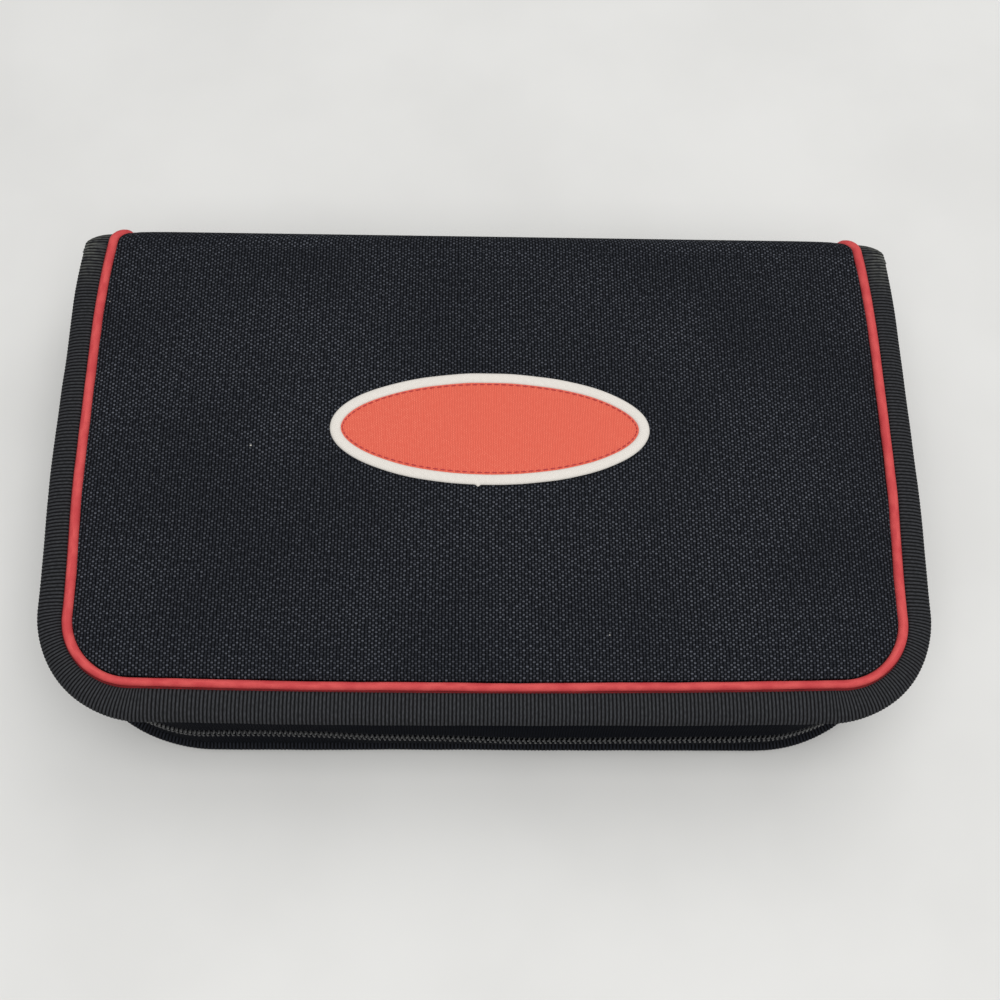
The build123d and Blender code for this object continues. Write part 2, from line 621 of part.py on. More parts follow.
with BuildPart() as rivets:
    with BuildSketch(Plane.XY.offset(STIFFENER_BOTTOM)):
        with Locations((0, EAR_Y)), rivet_places:
            Circle(RIVET_SHANK)
    extrude(amount=BOARD_BOTTOM + BOARD_FLOOR - STIFFENER_BOTTOM)
    with BuildSketch(Plane.XY.offset(BOARD_BOTTOM + BOARD_FLOOR)):
        with Locations((0, EAR_Y)), rivet_places:
            Circle(RIVET_HEAD)
    extrude(amount=RIVET_HEAD_HEIGHT)
    fillet(rivets.edges().group_by(Axis.Z)[-1], radius=RIVET_HEAD_HEIGHT * 0.6)

finish(board_lower, "board_lower_half")
finish(board_upper, "board_upper_half")
finish(grid_lower, "board_lower_grid")
finish(grid_upper, "board_upper_grid")
finish(hinge_pins, "board_hinge_pins")
finish(rivets, "board_rivets")

# ================================================================ racks
rack_slope_foot = RACK_WALL + RACK_LEDGE


def rack(left_x, front_y):
    """One tile rack: a low lip, a ledge and a leaning back, standing on the base lining."""
    with BuildPart() as body:
        with BuildSketch(Plane.YZ.offset(left_x)):
            with Locations((front_y, PANEL)):
                Polygon(
                    (0, 0),
                    (RACK_DEPTH, 0),
                    (RACK_DEPTH, RACK_HEIGHT),
                    (RACK_DEPTH - RACK_WALL, RACK_HEIGHT),
                    (rack_slope_foot, RACK_FLOOR),
                    (RACK_WALL, RACK_FLOOR),
                    (RACK_WALL, RACK_LIP),
                    (0, RACK_LIP),
                    align=None,
                )
        extrude(amount=RACK_LENGTH)
        fillet(body.edges().filter_by(Axis.X).group_by(Axis.Z)[-1], radius=RACK_WALL * 0.3)
    return body


rack_number = 0
for row in (0, 1):
    for left in (-RACK_MIDDLE_GAP / 2 - RACK_LENGTH, RACK_MIDDLE_GAP / 2):
        rack_number += 1
        finish(
            rack(left, RACK_FRONT + row * (RACK_DEPTH + RACK_GAP)),
            f"tile_rack_{rack_number}",
        )

strap_x = (RACK_MIDDLE_GAP + RACK_LENGTH) / 2
with BuildPart() as rack_straps:
    for side in (-1, 1):
        with BuildSketch(Plane.YZ.offset(side * strap_x)):
            with Locations(((RACK_FRONT + RACK_BACK) / 2, PANEL)):
                Rectangle(
                    RACK_BACK - RACK_FRONT + 2 * (STRAP + STRAP_GAP),
                    RACK_HEIGHT + STRAP_GAP + STRAP,
                    align=(Align.CENTER, Align.MIN),
                )
                Rectangle(
                    RACK_BACK - RACK_FRONT + 2 * STRAP_GAP,
                    RACK_HEIGHT + STRAP_GAP,
                    align=(Align.CENTER, Align.MIN),
                    mode=Mode.SUBTRACT,
                )
        extrude(amount=STRAP_WIDTH / 2, both=True)
finish(rack_straps, "rack_elastic_straps")

# ================================================================ tiles, bag, score pad and pockets
tile_pocket_x = -(POCKET_MIDDLE_GAP + POCKET_WIDTH) / 2
pad_pocket_x = -tile_pocket_x
pocket_y = POCKET_BACK - POCKET_DEPTH / 2
bag_y = POCKET_BACK - POCKET_SLACK_SIDE - BAG_DEPTH / 2
bag_z = LID_UNDERSIDE - POCKET_SLACK - BAG_HEIGHT / 2


def pocket(middle_x, inner_height):
    """Lid pocket: a sheet with three sewn walls, open towards the spine and against the lining."""
    height = inner_height + POCKET_SHEET
    with BuildPart() as body:
        with Locations((middle_x, pocket_y, LID_UNDERSIDE)):
            Box(POCKET_WIDTH, POCKET_DEPTH, height, align=(Align.CENTER, Align.CENTER, Align.MAX))
        with Locations((middle_x, pocket_y + POCKET_SHEET, LID_UNDERSIDE)):
            Box(
                POCKET_WIDTH - 2 * POCKET_SHEET,
                POCKET_DEPTH,
                inner_height,
                align=(Align.CENTER, Align.CENTER, Align.MAX),
                mode=Mode.SUBTRACT,
            )
    return body


tile_pocket = pocket(tile_pocket_x, BAG_HEIGHT + 2 * POCKET_SLACK)
pad_pocket = pocket(pad_pocket_x, PAD_THICKNESS + 2 * POCKET_SLACK)

with BuildPart() as tile_bag:
    with Locations((tile_pocket_x, bag_y, bag_z)):
        Box(BAG_WIDTH, BAG_DEPTH, BAG_HEIGHT)
    fillet(tile_bag.edges(), radius=BAG_FILLET)
    with Locations((tile_pocket_x, bag_y, bag_z)):
        Box(
            STACK_WIDTH + 2 * TILE_GAP,
            STACK_DEPTH + 2 * TILE_GAP,
            STACK_HEIGHT + 2 * TILE_LAYER_GAP,
            mode=Mode.SUBTRACT,
        )

with BuildPart() as one_tile:
    Box(TILE_SIZE, TILE_SIZE, TILE_THICKNESS)
    fillet(one_tile.edges().filter_by(Axis.Z), radius=TILE_FILLET)

layer_step = TILE_THICKNESS + TILE_LAYER_GAP
tile_step = TILE_SIZE + TILE_GAP
tile_places = [
    (
        tile_pocket_x + place.position.X,
        bag_y + place.position.Y,
        bag_z + (layer - (TILE_LAYERS - 1) / 2) * layer_step,
    )
    for layer in range(TILE_LAYERS)
    for place in GridLocations(tile_step, tile_step, TILE_COLUMNS, TILE_ROWS).local_locations
][:TILE_COUNT]
with BuildPart() as letter_tiles:
    with Locations(*tile_places):
        add(one_tile.part)

with BuildPart() as score_pad:
    with Locations((pad_pocket_x, pocket_y + POCKET_SHEET / 2, LID_UNDERSIDE - POCKET_SLACK)):
        Box(
            POCKET_WIDTH - 2 * POCKET_SHEET - PAD_SIDE_SLACK,
            POCKET_DEPTH - POCKET_SHEET - PAD_MOUTH_SLACK,
            PAD_THICKNESS,
            align=(Align.CENTER, Align.CENTER, Align.MAX),
        )

finish(tile_pocket, "lid_tile_pocket")
finish(pad_pocket, "lid_pad_pocket")
finish(tile_bag, "tile_bag")
finish(letter_tiles, "letter_tiles")
finish(score_pad, "score_pad")

# ================================================================ badge
with BuildPart() as badge_field:
    with BuildSketch(Plane.XY.offset(CASE_HEIGHT)):
        with Locations((BADGE_X, BADGE_Y)):
            Ellipse(BADGE_LENGTH / 2 - BADGE_BORDER, BADGE_WIDTH / 2 - BADGE_BORDER)
    extrude(amount=BADGE_FIELD_THICKNESS)

with BuildPart() as badge_border:
    with BuildSketch(Plane.XY.offset(CASE_HEIGHT)):
        with Locations((BADGE_X, BADGE_Y)):
            Ellipse(BADGE_LENGTH / 2, BADGE_WIDTH / 2)
            Ellipse(
                BADGE_LENGTH / 2 - BADGE_BORDER,
                BADGE_WIDTH / 2 - BADGE_BORDER,
                mode=Mode.SUBTRACT,
            )
    extrude(amount=BADGE_BORDER_THICKNESS)
    fillet(badge_border.edges().group_by(Axis.Z)[-1], radius=BADGE_BORDER_THICKNESS * 0.6)

finish(badge_field, "badge_field")
finish(badge_border, "badge_border")
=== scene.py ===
"""Looks of a soft travel case for a word tile game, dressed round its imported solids.

The case is a zip-round folio: two padded covers edged with red piping and a grosgrain band, a spine that folds at
two lines, and a zip on a cloth gusset. Inside are a folding squared board, four tile racks, a bag of letter tiles
and a score pad. Sizes in the classes are millimetres, X along the spine, Y from the opening (-) to the spine (+)
and Z up from the floor. Meshes are made in metres.
"""

import logging
import math
from dataclasses import dataclass
from enum import Enum
from typing import Callable, Sequence

import bmesh
import bpy
import numpy as np
from mathutils import Matrix, Vector, noise


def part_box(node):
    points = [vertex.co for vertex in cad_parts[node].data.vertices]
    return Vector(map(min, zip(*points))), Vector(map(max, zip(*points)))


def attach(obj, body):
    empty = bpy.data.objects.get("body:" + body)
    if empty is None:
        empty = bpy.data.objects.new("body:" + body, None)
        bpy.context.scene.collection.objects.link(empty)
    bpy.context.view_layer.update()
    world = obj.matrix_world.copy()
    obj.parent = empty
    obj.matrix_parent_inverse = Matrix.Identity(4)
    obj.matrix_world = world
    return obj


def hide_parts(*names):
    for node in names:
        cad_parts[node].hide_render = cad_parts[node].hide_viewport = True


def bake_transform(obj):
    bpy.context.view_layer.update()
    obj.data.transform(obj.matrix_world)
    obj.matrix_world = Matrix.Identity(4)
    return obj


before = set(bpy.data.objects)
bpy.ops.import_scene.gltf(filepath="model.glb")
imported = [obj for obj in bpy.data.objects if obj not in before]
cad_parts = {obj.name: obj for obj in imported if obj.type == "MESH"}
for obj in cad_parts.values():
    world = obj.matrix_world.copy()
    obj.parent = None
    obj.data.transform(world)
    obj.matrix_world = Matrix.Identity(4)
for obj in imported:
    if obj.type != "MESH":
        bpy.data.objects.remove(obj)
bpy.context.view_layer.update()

MM = 0.001
LOG = logging.getLogger("case")
Array = np.ndarray
Wave = tuple[float, float, float]
Section = tuple[tuple[float, float], ...]


# ---------------------------------------------------------------- shared helpers
class Side(Enum):
    """Which half of the closed case a piece belongs to."""

    BASE = "base"
    LID = "lid"

    @property
    def place(self) -> str:
        """The word that the names of this half's zip parts begin with."""
        return "lower" if self is Side.BASE else "upper"

    def level(self, height: Array | float) -> Array | float:
        """Turns a height measured from this half's outer face into Z."""
        return height if self is Side.BASE else CASE.height - height


class Hand(Enum):
    """An end of the spine, or a strap, with the sign of its X."""

    LEFT = -1
    RIGHT = 1

    @property
    def word(self) -> str:
        """The word that names it."""
        return self.name.lower()


@dataclass(frozen=True)
class CaseSizes:
    """Sizes that every soft part of the case is laid out from."""

    half_width: float = 133.0
    half_depth: float = 81.5
    height: float = 45.0
    cover_back: float = 75.0
    fold_y: float = 75.5
    fold_radius: float = 6.0
    piping_radius: float = 1.5
    piping_level: float = 1.85
    spine_half: float = 126.2
    spine_seam: float = 117.6
    soften_from: float = 40.0
    floor_gap: float = 0.03
    rib: float = 1.12
    rib_height: float = 0.16
    worn_reach: tuple[float, float] = (122.0, 131.0)


CASE = CaseSizes()


def smooth_step(value: Array | float, low: float, high: float) -> Array | float:
    """Rises smoothly from 0 at low to 1 at high."""
    share = np.clip((np.asarray(value, float) - low) / (high - low), 0, 1)
    return share * share * (3 - 2 * share)


def ripple(points: Array, wavelength: float, seed: float) -> Array:
    """Smooth noise between about -1 and 1.

    Args:
        points: Places to read it at, n by 2 or n by 3, in millimetres.
        wavelength: Rough size of one swell, in millimetres.
        seed: Moves to another part of the noise.

    Returns:
        One value for each point.
    """
    flat = np.asarray(points, float)
    if flat.shape[1] == 2:
        flat = np.column_stack((flat, np.zeros(len(flat))))
    scaled = flat / wavelength + np.array((seed * 7.31, seed * 3.17, seed * 5.03))
    return np.array([noise.noise(Vector(p)) for p in scaled])


def wander(along: Array, *waves: Wave) -> Array:
    """Adds up smooth waves along a line.

    Args:
        along: Lengths along the line, in millimetres.
        waves: Height, wavelength and seed of each wave.

    Returns:
        One value for each length.
    """
    line = np.column_stack((along, np.zeros(len(along))))
    return sum(height * ripple(line, wavelength, seed) for height, wavelength, seed in waves)


def lengths_along(line: Array, closed: bool = False) -> Array:
    """Running length at each point of a line, and at its end once more where it is closed."""
    whole = np.concatenate((line, line[:1])) if closed else line
    return np.concatenate(([0], np.cumsum(np.linalg.norm(np.diff(whole, axis=0), axis=1))))


def unit(rows: Array) -> Array:
    """Brings each row to length one."""
    return rows / np.maximum(np.linalg.norm(rows, axis=1), 1e-9)[:, None]


def grid_uv(rows: Array, columns: Array) -> Array:
    """A grid of (u, v) with u from its rows and v from its columns."""
    return np.stack(np.broadcast_arrays(rows[:, None], columns[None]), -1)


def face_uv(points: Sequence[Sequence[float]], faces: Sequence[Sequence[int]]) -> Array:
    """(u, v) of each face corner, read from its X and Y."""
    return np.array([points[v][:2] for face in faces for v in face])


def ring_faces(rings: int, size: int, start: int = 0) -> list[Sequence[int]]:
    """Four-sided faces between closed rings of points that follow each other.

    Args:
        rings: How many rings there are.
        size: Points in each ring.
        start: Index of the first ring's first point.

    Returns:
        The faces.
    """
    faces: list[Sequence[int]] = []
    for first in range(start, start + (rings - 1) * size, size):
        for a in range(size):
            b = (a + 1) % size
            faces.append((first + a, first + b, first + size + b, first + size + a))
    return faces


def vertex_places(obj: bpy.types.Object) -> Array:
    """Places of a piece's vertices, in millimetres."""
    return np.array([v.co for v in obj.data.vertices]) / MM


def packed_box(node: str) -> tuple[Array, Array]:
    """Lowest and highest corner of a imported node, in millimetres."""
    low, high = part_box(node)
    return np.array(low) / MM, np.array(high) / MM


def ribs(along: Array) -> Array:
    """How far the ribs of the grosgrain stand out at lengths along it."""
    return CASE.rib_height * (0.5 + 0.5 * np.cos(2 * math.pi * along / CASE.rib))


def link(obj: bpy.types.Object) -> bpy.types.Object:
    """Puts an object in the scene."""
    bpy.context.scene.collection.objects.link(obj)
    return obj


def mesh_object(
    name: str,
    points: Array,
    faces: Sequence[Sequence[int]],
    uv: Array | None = None,
    sharp: float | None = None,
) -> bpy.types.Object:
    """Makes one mesh piece.

    Args:
        name: The piece's name.
        points: Vertices in millimetres, n by 3.
        faces: Vertex indices of each face.
        uv: One (u, v) in millimetres for each face corner, in order.
        sharp: Edges that turn more than this many degrees are shaded sharp.

    Returns:
        The object, smooth shaded and facing out.
    """
    mesh = bpy.data.meshes.new(name)
    mesh.from_pydata((np.asarray(points, float) * MM).tolist(), [], [list(map(int, f)) for f in faces])
    if uv is not None:
        mesh.uv_layers.new(name="cloth").data.foreach_set("uv", np.asarray(uv, float).ravel())
    work = bmesh.new()
    work.from_mesh(mesh)
    bmesh.ops.recalc_face_normals(work, faces=work.faces)
    work.to_mesh(mesh)
    work.free()
    mesh.polygons.foreach_set("use_smooth", [True] * len(mesh.polygons))
    if sharp is not None:
        mesh.set_sharp_from_angle(angle=math.radians(sharp))
    return link(bpy.data.objects.new(name, mesh))


def skin(
    name: str,
    points: Array,
    uv: Array,
    wrap_rows: bool = False,
    wrap_columns: bool = True,
    sharp: float | None = None,
) -> bpy.types.Object:
    """Skins a grid of points with four-sided faces.

    Args:
        name: The piece's name.
        points: Rows by columns by 3, in millimetres.
        uv: The same grid of (u, v), one longer where it wraps.
        wrap_rows: Joins the last row to the first.
        wrap_columns: Joins the last column to the first; the ends of such a tube are closed.
        sharp: As for mesh_object.

    Returns:
        The object.
    """
    rows, columns = points.shape[:2]
    i, j = np.meshgrid(
        np.arange(rows if wrap_rows else rows - 1),
        np.arange(columns if wrap_columns else columns - 1),
        indexing="ij",
    )
    corners = ((i, j), (i + 1, j), (i + 1, j + 1), (i, j + 1))
    faces = np.stack([(a % rows) * columns + (b % columns) for a, b in corners], -1).reshape(-1, 4).tolist()
    flat_uv = np.stack([uv[a, b] for a, b in corners], 2).reshape(-1, 2)
    if wrap_columns and not wrap_rows:
        last = (rows - 1) * columns
        faces += [list(range(columns)), list(range(last, last + columns))[::-1]]
        flat_uv = np.concatenate((flat_uv, uv[0, :columns], uv[rows - 1, :columns][::-1]))
    return mesh_object(name, points.reshape(-1, 3), faces, flat_uv, sharp)


def smooth_curve(points: Section, count: int) -> Array:
    """Runs a smooth line through some points.

    Args:
        points: The points, in millimetres.
        count: How many samples to return.

    Returns:
        Samples spaced evenly along the closed line, count by 2.
    """
    knots = np.asarray(points, float)
    size = len(knots)
    dense = []
    for i in range(size):
        a, b, c, d = (knots[(i + k) % size] for k in (-1, 0, 1, 2))
        for t in np.linspace(0, 1, 24, endpoint=False):
            dense.append(
                0.5 * (2 * b + (c - a) * t + (2 * a - 5 * b + 4 * c - d) * t**2 + (3 * b - a - 3 * c + d) * t**3)
            )
    line = np.array(dense + [knots[0]])
    along = lengths_along(line)
    places = np.linspace(0, along[-1], count + 1)[:-1]
    return np.column_stack([np.interp(places, along, line[:, k]) for k in (0, 1)])


def edge_normals(profile: Array) -> Array:
    """Unit normals of a closed section, pointing out of it."""
    step = np.roll(profile, -1, 0) - np.roll(profile, 1, 0)
    out = unit(np.column_stack((-step[:, 1], step[:, 0])))
    return out if ((profile - profile.mean(0)) * out).sum() >= 0 else -out


def tube(name: str, line: Array, radius: Array | float, sides: int = 10) -> bpy.types.Object:
    """Makes a round tube along a line.

    Args:
        name: The piece's name.
        line: Centre line, n by 3, in millimetres.
        radius: One radius or one for each point.
        sides: Sides of its section.

    Returns:
        The object, with u along the tube and v round it.
    """
    tangent = unit(np.gradient(line, axis=0))
    up = np.array((0.0, 0.0, 1.0)) if abs(tangent[0, 2]) < 0.9 else np.array((1.0, 0.0, 0.0))
    normals = np.zeros_like(line)
    for i, ahead in enumerate(tangent):
        up = up - ahead * (up @ ahead)
        up = up / max(np.linalg.norm(up), 1e-9)
        normals[i] = up
    across = np.cross(tangent, normals)
    turns = np.linspace(0, 2 * math.pi, sides, endpoint=False)
    size = np.broadcast_to(np.asarray(radius, float), (len(line),))
    points = line[:, None] + size[:, None, None] * (
        normals[:, None] * np.cos(turns)[None, :, None] + across[:, None] * np.sin(turns)[None, :, None]
    )
    around = np.linspace(0, 2 * math.pi * float(size.mean()), sides + 1)
    return skin(name, points, grid_uv(lengths_along(line), around))


@dataclass(frozen=True)
class EdgeLine:
    """A line of the case seen from above, from the back of the left side round the front to the right back."""

    half_width: float = CASE.half_width
    front: float = CASE.half_depth
    corner: float = 37.0
    back: float = CASE.cover_back
    ease: float = 2.1
    ease_start: float = CASE.soften_from
    ease_power: float = 2.2
    pinch: float = 0.0
    pinch_reach: tuple[float, float] = (5.0, 50.0)
    bow: float = 0.0

    def eased(self, y: Array | float) -> tuple[Array, Array]:
        """How far the line draws in at y on its way to the spine and to the front corners, and its slope there."""
        reach = CASE.cover_back - self.ease_start
        share = np.clip((np.asarray(y, float) - self.ease_start) / reach, 0, None)
        low, high = self.pinch_reach
        near = np.clip((-np.asarray(y, float) - low) / (high - low), 0, 1)
        drawn = self.ease * share**self.ease_power + self.pinch * near * near * (3 - 2 * near)
        slope = self.ease * self.ease_power * share ** (self.ease_power - 1) / reach
        return drawn, slope - self.pinch * 6 * near * (1 - near) / (high - low)

    @property
    def corner_x(self) -> float:
        """X of the middle of the right front corner's round."""
        return self.half_width - self.pinch - self.corner

    @property
    def corner_y(self) -> float:
        """Y of the middle of the front corners' rounds."""
        return self.corner + self.bow - self.front

    def bowed(self, x: Array | float) -> Array:
        """How far the front line bows out at x beyond its corners' ends."""
        return self.bow * (1 - np.clip(np.asarray(x, float) / self.corner_x, -1, 1) ** 2)

    def sampled(self, stations: Array | float) -> tuple[Array, Array, Array]:
        """Reads the line.

        Args:
            stations: Lengths along it, or a step to space them by, in millimetres.

        Returns:
            Places (n by 2), outward normals (n by 2) and lengths (n).
        """
        corner_x, corner_y = self.corner_x, self.corner_y
        rows = np.linspace(self.back, corner_y, 240)
        drawn, slope = self.eased(rows)
        side = np.column_stack((self.half_width - drawn, rows, np.ones(len(rows)), slope))
        turn = np.linspace(0, math.pi / 2, 120)[1:]
        x, y = np.cos(turn), -np.sin(turn)
        right = np.concatenate((side, np.column_stack((corner_x + self.corner * x, corner_y + self.corner * y, x, y))))
        left = right * np.array((-1, 1, -1, 1))
        xs = np.linspace(-corner_x, corner_x, 60)[1:-1]
        lean = 2 * self.bow * xs / corner_x**2
        middle = np.column_stack((xs, -(self.front - self.bow) - self.bowed(xs), lean, -np.ones(len(xs))))
        line = np.concatenate((left, middle, right[::-1]))
        along = lengths_along(line[:, :2])
        if np.ndim(stations) == 0:
            stations = np.linspace(0, along[-1], int(along[-1] / float(stations)) + 1)
        read = np.column_stack([np.interp(stations, along, line[:, k]) for k in range(4)])
        return read[:, :2], unit(read[:, 2:]), np.asarray(stations, float)

    def gap_to(self, places: Array) -> Array:
        """Distance from each of some places to this line."""
        mine, _, _ = self.sampled(0.5)
        return np.array([np.sqrt(((mine - p) ** 2).sum(1)).min() for p in places])

    def sweep(
        self,
        name: str,
        profile: Array,
        step: float,
        side: Side,
        shape: Callable[[Array, Array], tuple[Array, Array]],
    ) -> bpy.types.Object:
        """Carries a closed section along the line.

        Args:
            name: The piece's name.
            profile: The section as (inset, height), height from the outer face.
            step: Spacing of the sections, in millimetres.
            side: Base, or the lid that mirrors it.
            shape: Given lengths and places, returns what to add to inset and height, as two grids.

        Returns:
            The object, with u along the line and v round the section.
        """
        places, normals, along = self.sampled(step)
        more_inset, more_height = shape(along, places)
        inset, height = profile[:, 0] + more_inset, profile[:, 1] + more_height
        flat = places[:, None] - normals[:, None] * inset[:, :, None]
        points = np.concatenate((flat, np.asarray(side.level(height))[:, :, None]), 2)
        return skin(name, points, grid_uv(along, lengths_along(profile, closed=True)))


# ---------------------------------------------------------------- finishes
def to_linear(code: str) -> tuple[float, float, float, float]:
    """Turns an sRGB hex colour such as "C84A4C" into linear RGBA."""
    values = [int(code[i : i + 2], 16) / 255 for i in (0, 2, 4)]
    linear = [v / 12.92 if v <= 0.04045 else ((v + 0.055) / 1.055) ** 2.4 for v in values]
    return (linear[0], linear[1], linear[2], 1.0)


def add_node(
    tree: bpy.types.NodeTree, kind: str, settings: dict | None = None, links: dict | None = None
) -> bpy.types.Node:
    """Adds one shader node.

    Args:
        tree: The material's node tree.
        kind: The node's type without "ShaderNode".
        settings: Lower-case names are the node's own settings; other names and numbers are input sockets.
        links: Input socket to the node or output socket that feeds it.

    Returns:
        The node.
    """
    node = tree.nodes.new("ShaderNode" + kind)
    for name, value in (settings or {}).items():
        if isinstance(name, str) and name.islower():
            setattr(node, name, value)
        else:
            node.inputs[name].default_value = value
    for name, source in (links or {}).items():
        tree.links.new(source if isinstance(source, bpy.types.NodeSocket) else source.outputs[0], node.inputs[name])
    return node


class Coordinates(Enum):
    """Where a finish's pattern is read from: a cloth's own length and width, or the solid it is cut into."""

    CLOTH = "cloth"
    SOLID = "solid"


@dataclass(frozen=True)
class Noise:
    """A noise in a finish: grain size in millimetres, detail, and how its values turn into shares."""

    size: float
    detail: float = 2.0
    between: tuple[float, float] = (0.35, 0.65)
    onto: tuple[float, float] = (0.0, 1.0)
    squeezed: tuple[float, float, float] | None = None


@dataclass(frozen=True)
class Finish:
    """What all finishes share: a surface colour, its gloss and a small variation of both."""

    name: str
    colour: str
    roughness: float = 0.8
    coordinates: Coordinates = Coordinates.CLOTH

    def material(self) -> bpy.types.Material:
        """The finish's material, made once."""
        made = bpy.data.materials.get(self.name)
        if made is None:
            made = bpy.data.materials.new(self.name)
            made.use_nodes = True
            made.node_tree.nodes.clear()
            made.diffuse_color = to_linear(self.colour)
            self.dress(made.node_tree)
        return made

    def millimetres(self, tree: bpy.types.NodeTree) -> bpy.types.NodeSocket:
        """Pattern coordinates in millimetres."""
        if self.coordinates is Coordinates.CLOTH:
            return add_node(tree, "UVMap", {"uv_map": "cloth"}).outputs[0]
        solid = add_node(tree, "TexCoord").outputs["Object"]
        return add_node(tree, "VectorMath", {"operation": "SCALE", "Scale": 1000.0}, {0: solid}).outputs[0]

    def surface(
        self,
        tree: bpy.types.NodeTree,
        settings: dict,
        colour: bpy.types.NodeSocket,
        bump: bpy.types.NodeSocket | None = None,
        depth: float = 0.1,
        roughness: bpy.types.NodeSocket | None = None,
    ) -> None:
        """Closes a material with its shader.

        Args:
            tree: The material's node tree.
            settings: Constant values of the shader's own sockets.
            colour: Colour pattern.
            bump: Height pattern from 0 to 1.
            depth: What a height of 1 stands for, in millimetres.
            roughness: Gloss pattern, or none for the plain value.
        """
        links = {"Base Color": colour}
        if roughness is not None:
            links["Roughness"] = roughness
        if bump is not None:
            links["Normal"] = add_node(tree, "Bump", {"Strength": 1.0, "Distance": depth * MM}, {"Height": bump})
        values = {"Base Color": to_linear(self.colour), "Roughness": self.roughness} | settings
        shader = add_node(tree, "BsdfPrincipled", values, links)
        add_node(tree, "OutputMaterial", None, {"Surface": shader})

    def mixed(
        self,
        tree: bpy.types.NodeTree,
        share: bpy.types.NodeSocket,
        first: str | bpy.types.NodeSocket,
        second: str | bpy.types.NodeSocket,
    ) -> bpy.types.NodeSocket:
        """Mixes two colours, given as hex or sockets, by a share from 0 to 1."""
        node = add_node(tree, "Mix", {"data_type": "RGBA"}, {0: share})
        for socket, value in ((6, first), (7, second)):
            if isinstance(value, str):
                node.inputs[socket].default_value = to_linear(value)
            else:
                tree.links.new(value, node.inputs[socket])
        return node.outputs[2]

    def ranged(
        self,
        tree: bpy.types.NodeTree,
        value: bpy.types.NodeSocket,
        between: tuple[float, float],
        onto: tuple[float, float] = (0.0, 1.0),
    ) -> bpy.types.NodeSocket:
        """Maps one range of values onto another with a smooth ramp."""
        settings = {"interpolation_type": "SMOOTHSTEP"} | dict(enumerate((*between, *onto), 1))
        return add_node(tree, "MapRange", settings, {0: value}).outputs[0]

    def reckoned(
        self, tree: bpy.types.NodeTree, operation: str, *values: float | bpy.types.NodeSocket
    ) -> bpy.types.NodeSocket:
        """Does one sum on sockets and constants."""
        settings = {"operation": operation} | {i: v for i, v in enumerate(values) if isinstance(v, float)}
        links = {i: v for i, v in enumerate(values) if not isinstance(v, float)}
        return add_node(tree, "Math", settings, links).outputs[0]

    def wave(
        self, tree: bpy.types.NodeTree, value: bpy.types.NodeSocket, period: float, kind: str = "SINE"
    ) -> bpy.types.NodeSocket:
        """A wave from -1 to 1 that repeats every period, in millimetres."""
        return self.reckoned(tree, kind, self.reckoned(tree, "MULTIPLY", value, 2 * math.pi / period))

    def parts(self, tree: bpy.types.NodeTree, place: bpy.types.NodeSocket) -> Sequence[bpy.types.NodeSocket]:
        """X, Y and Z of a place."""
        return add_node(tree, "SeparateXYZ", None, {0: place}).outputs

    def grains(
        self, tree: bpy.types.NodeTree, place: bpy.types.NodeSocket, noise: Noise
    ) -> bpy.types.NodeSocket:
        """The plain values of a noise."""
        if noise.squeezed is not None:
            place = add_node(tree, "Mapping", {"Scale": noise.squeezed}, {"Vector": place}).outputs[0]
        settings = {"Scale": 1.0 / noise.size, "Detail": noise.detail}
        return add_node(tree, "TexNoise", settings, {"Vector": place}).outputs[0]

    def share(
        self, tree: bpy.types.NodeTree, place: bpy.types.NodeSocket, noise: Noise
    ) -> bpy.types.NodeSocket:
        """The shares that a noise stands for."""
        return self.ranged(tree, self.grains(tree, place, noise), noise.between, noise.onto)

    def dress(self, tree: bpy.types.NodeTree) -> None:
        """Builds the nodes."""
        raise NotImplementedError


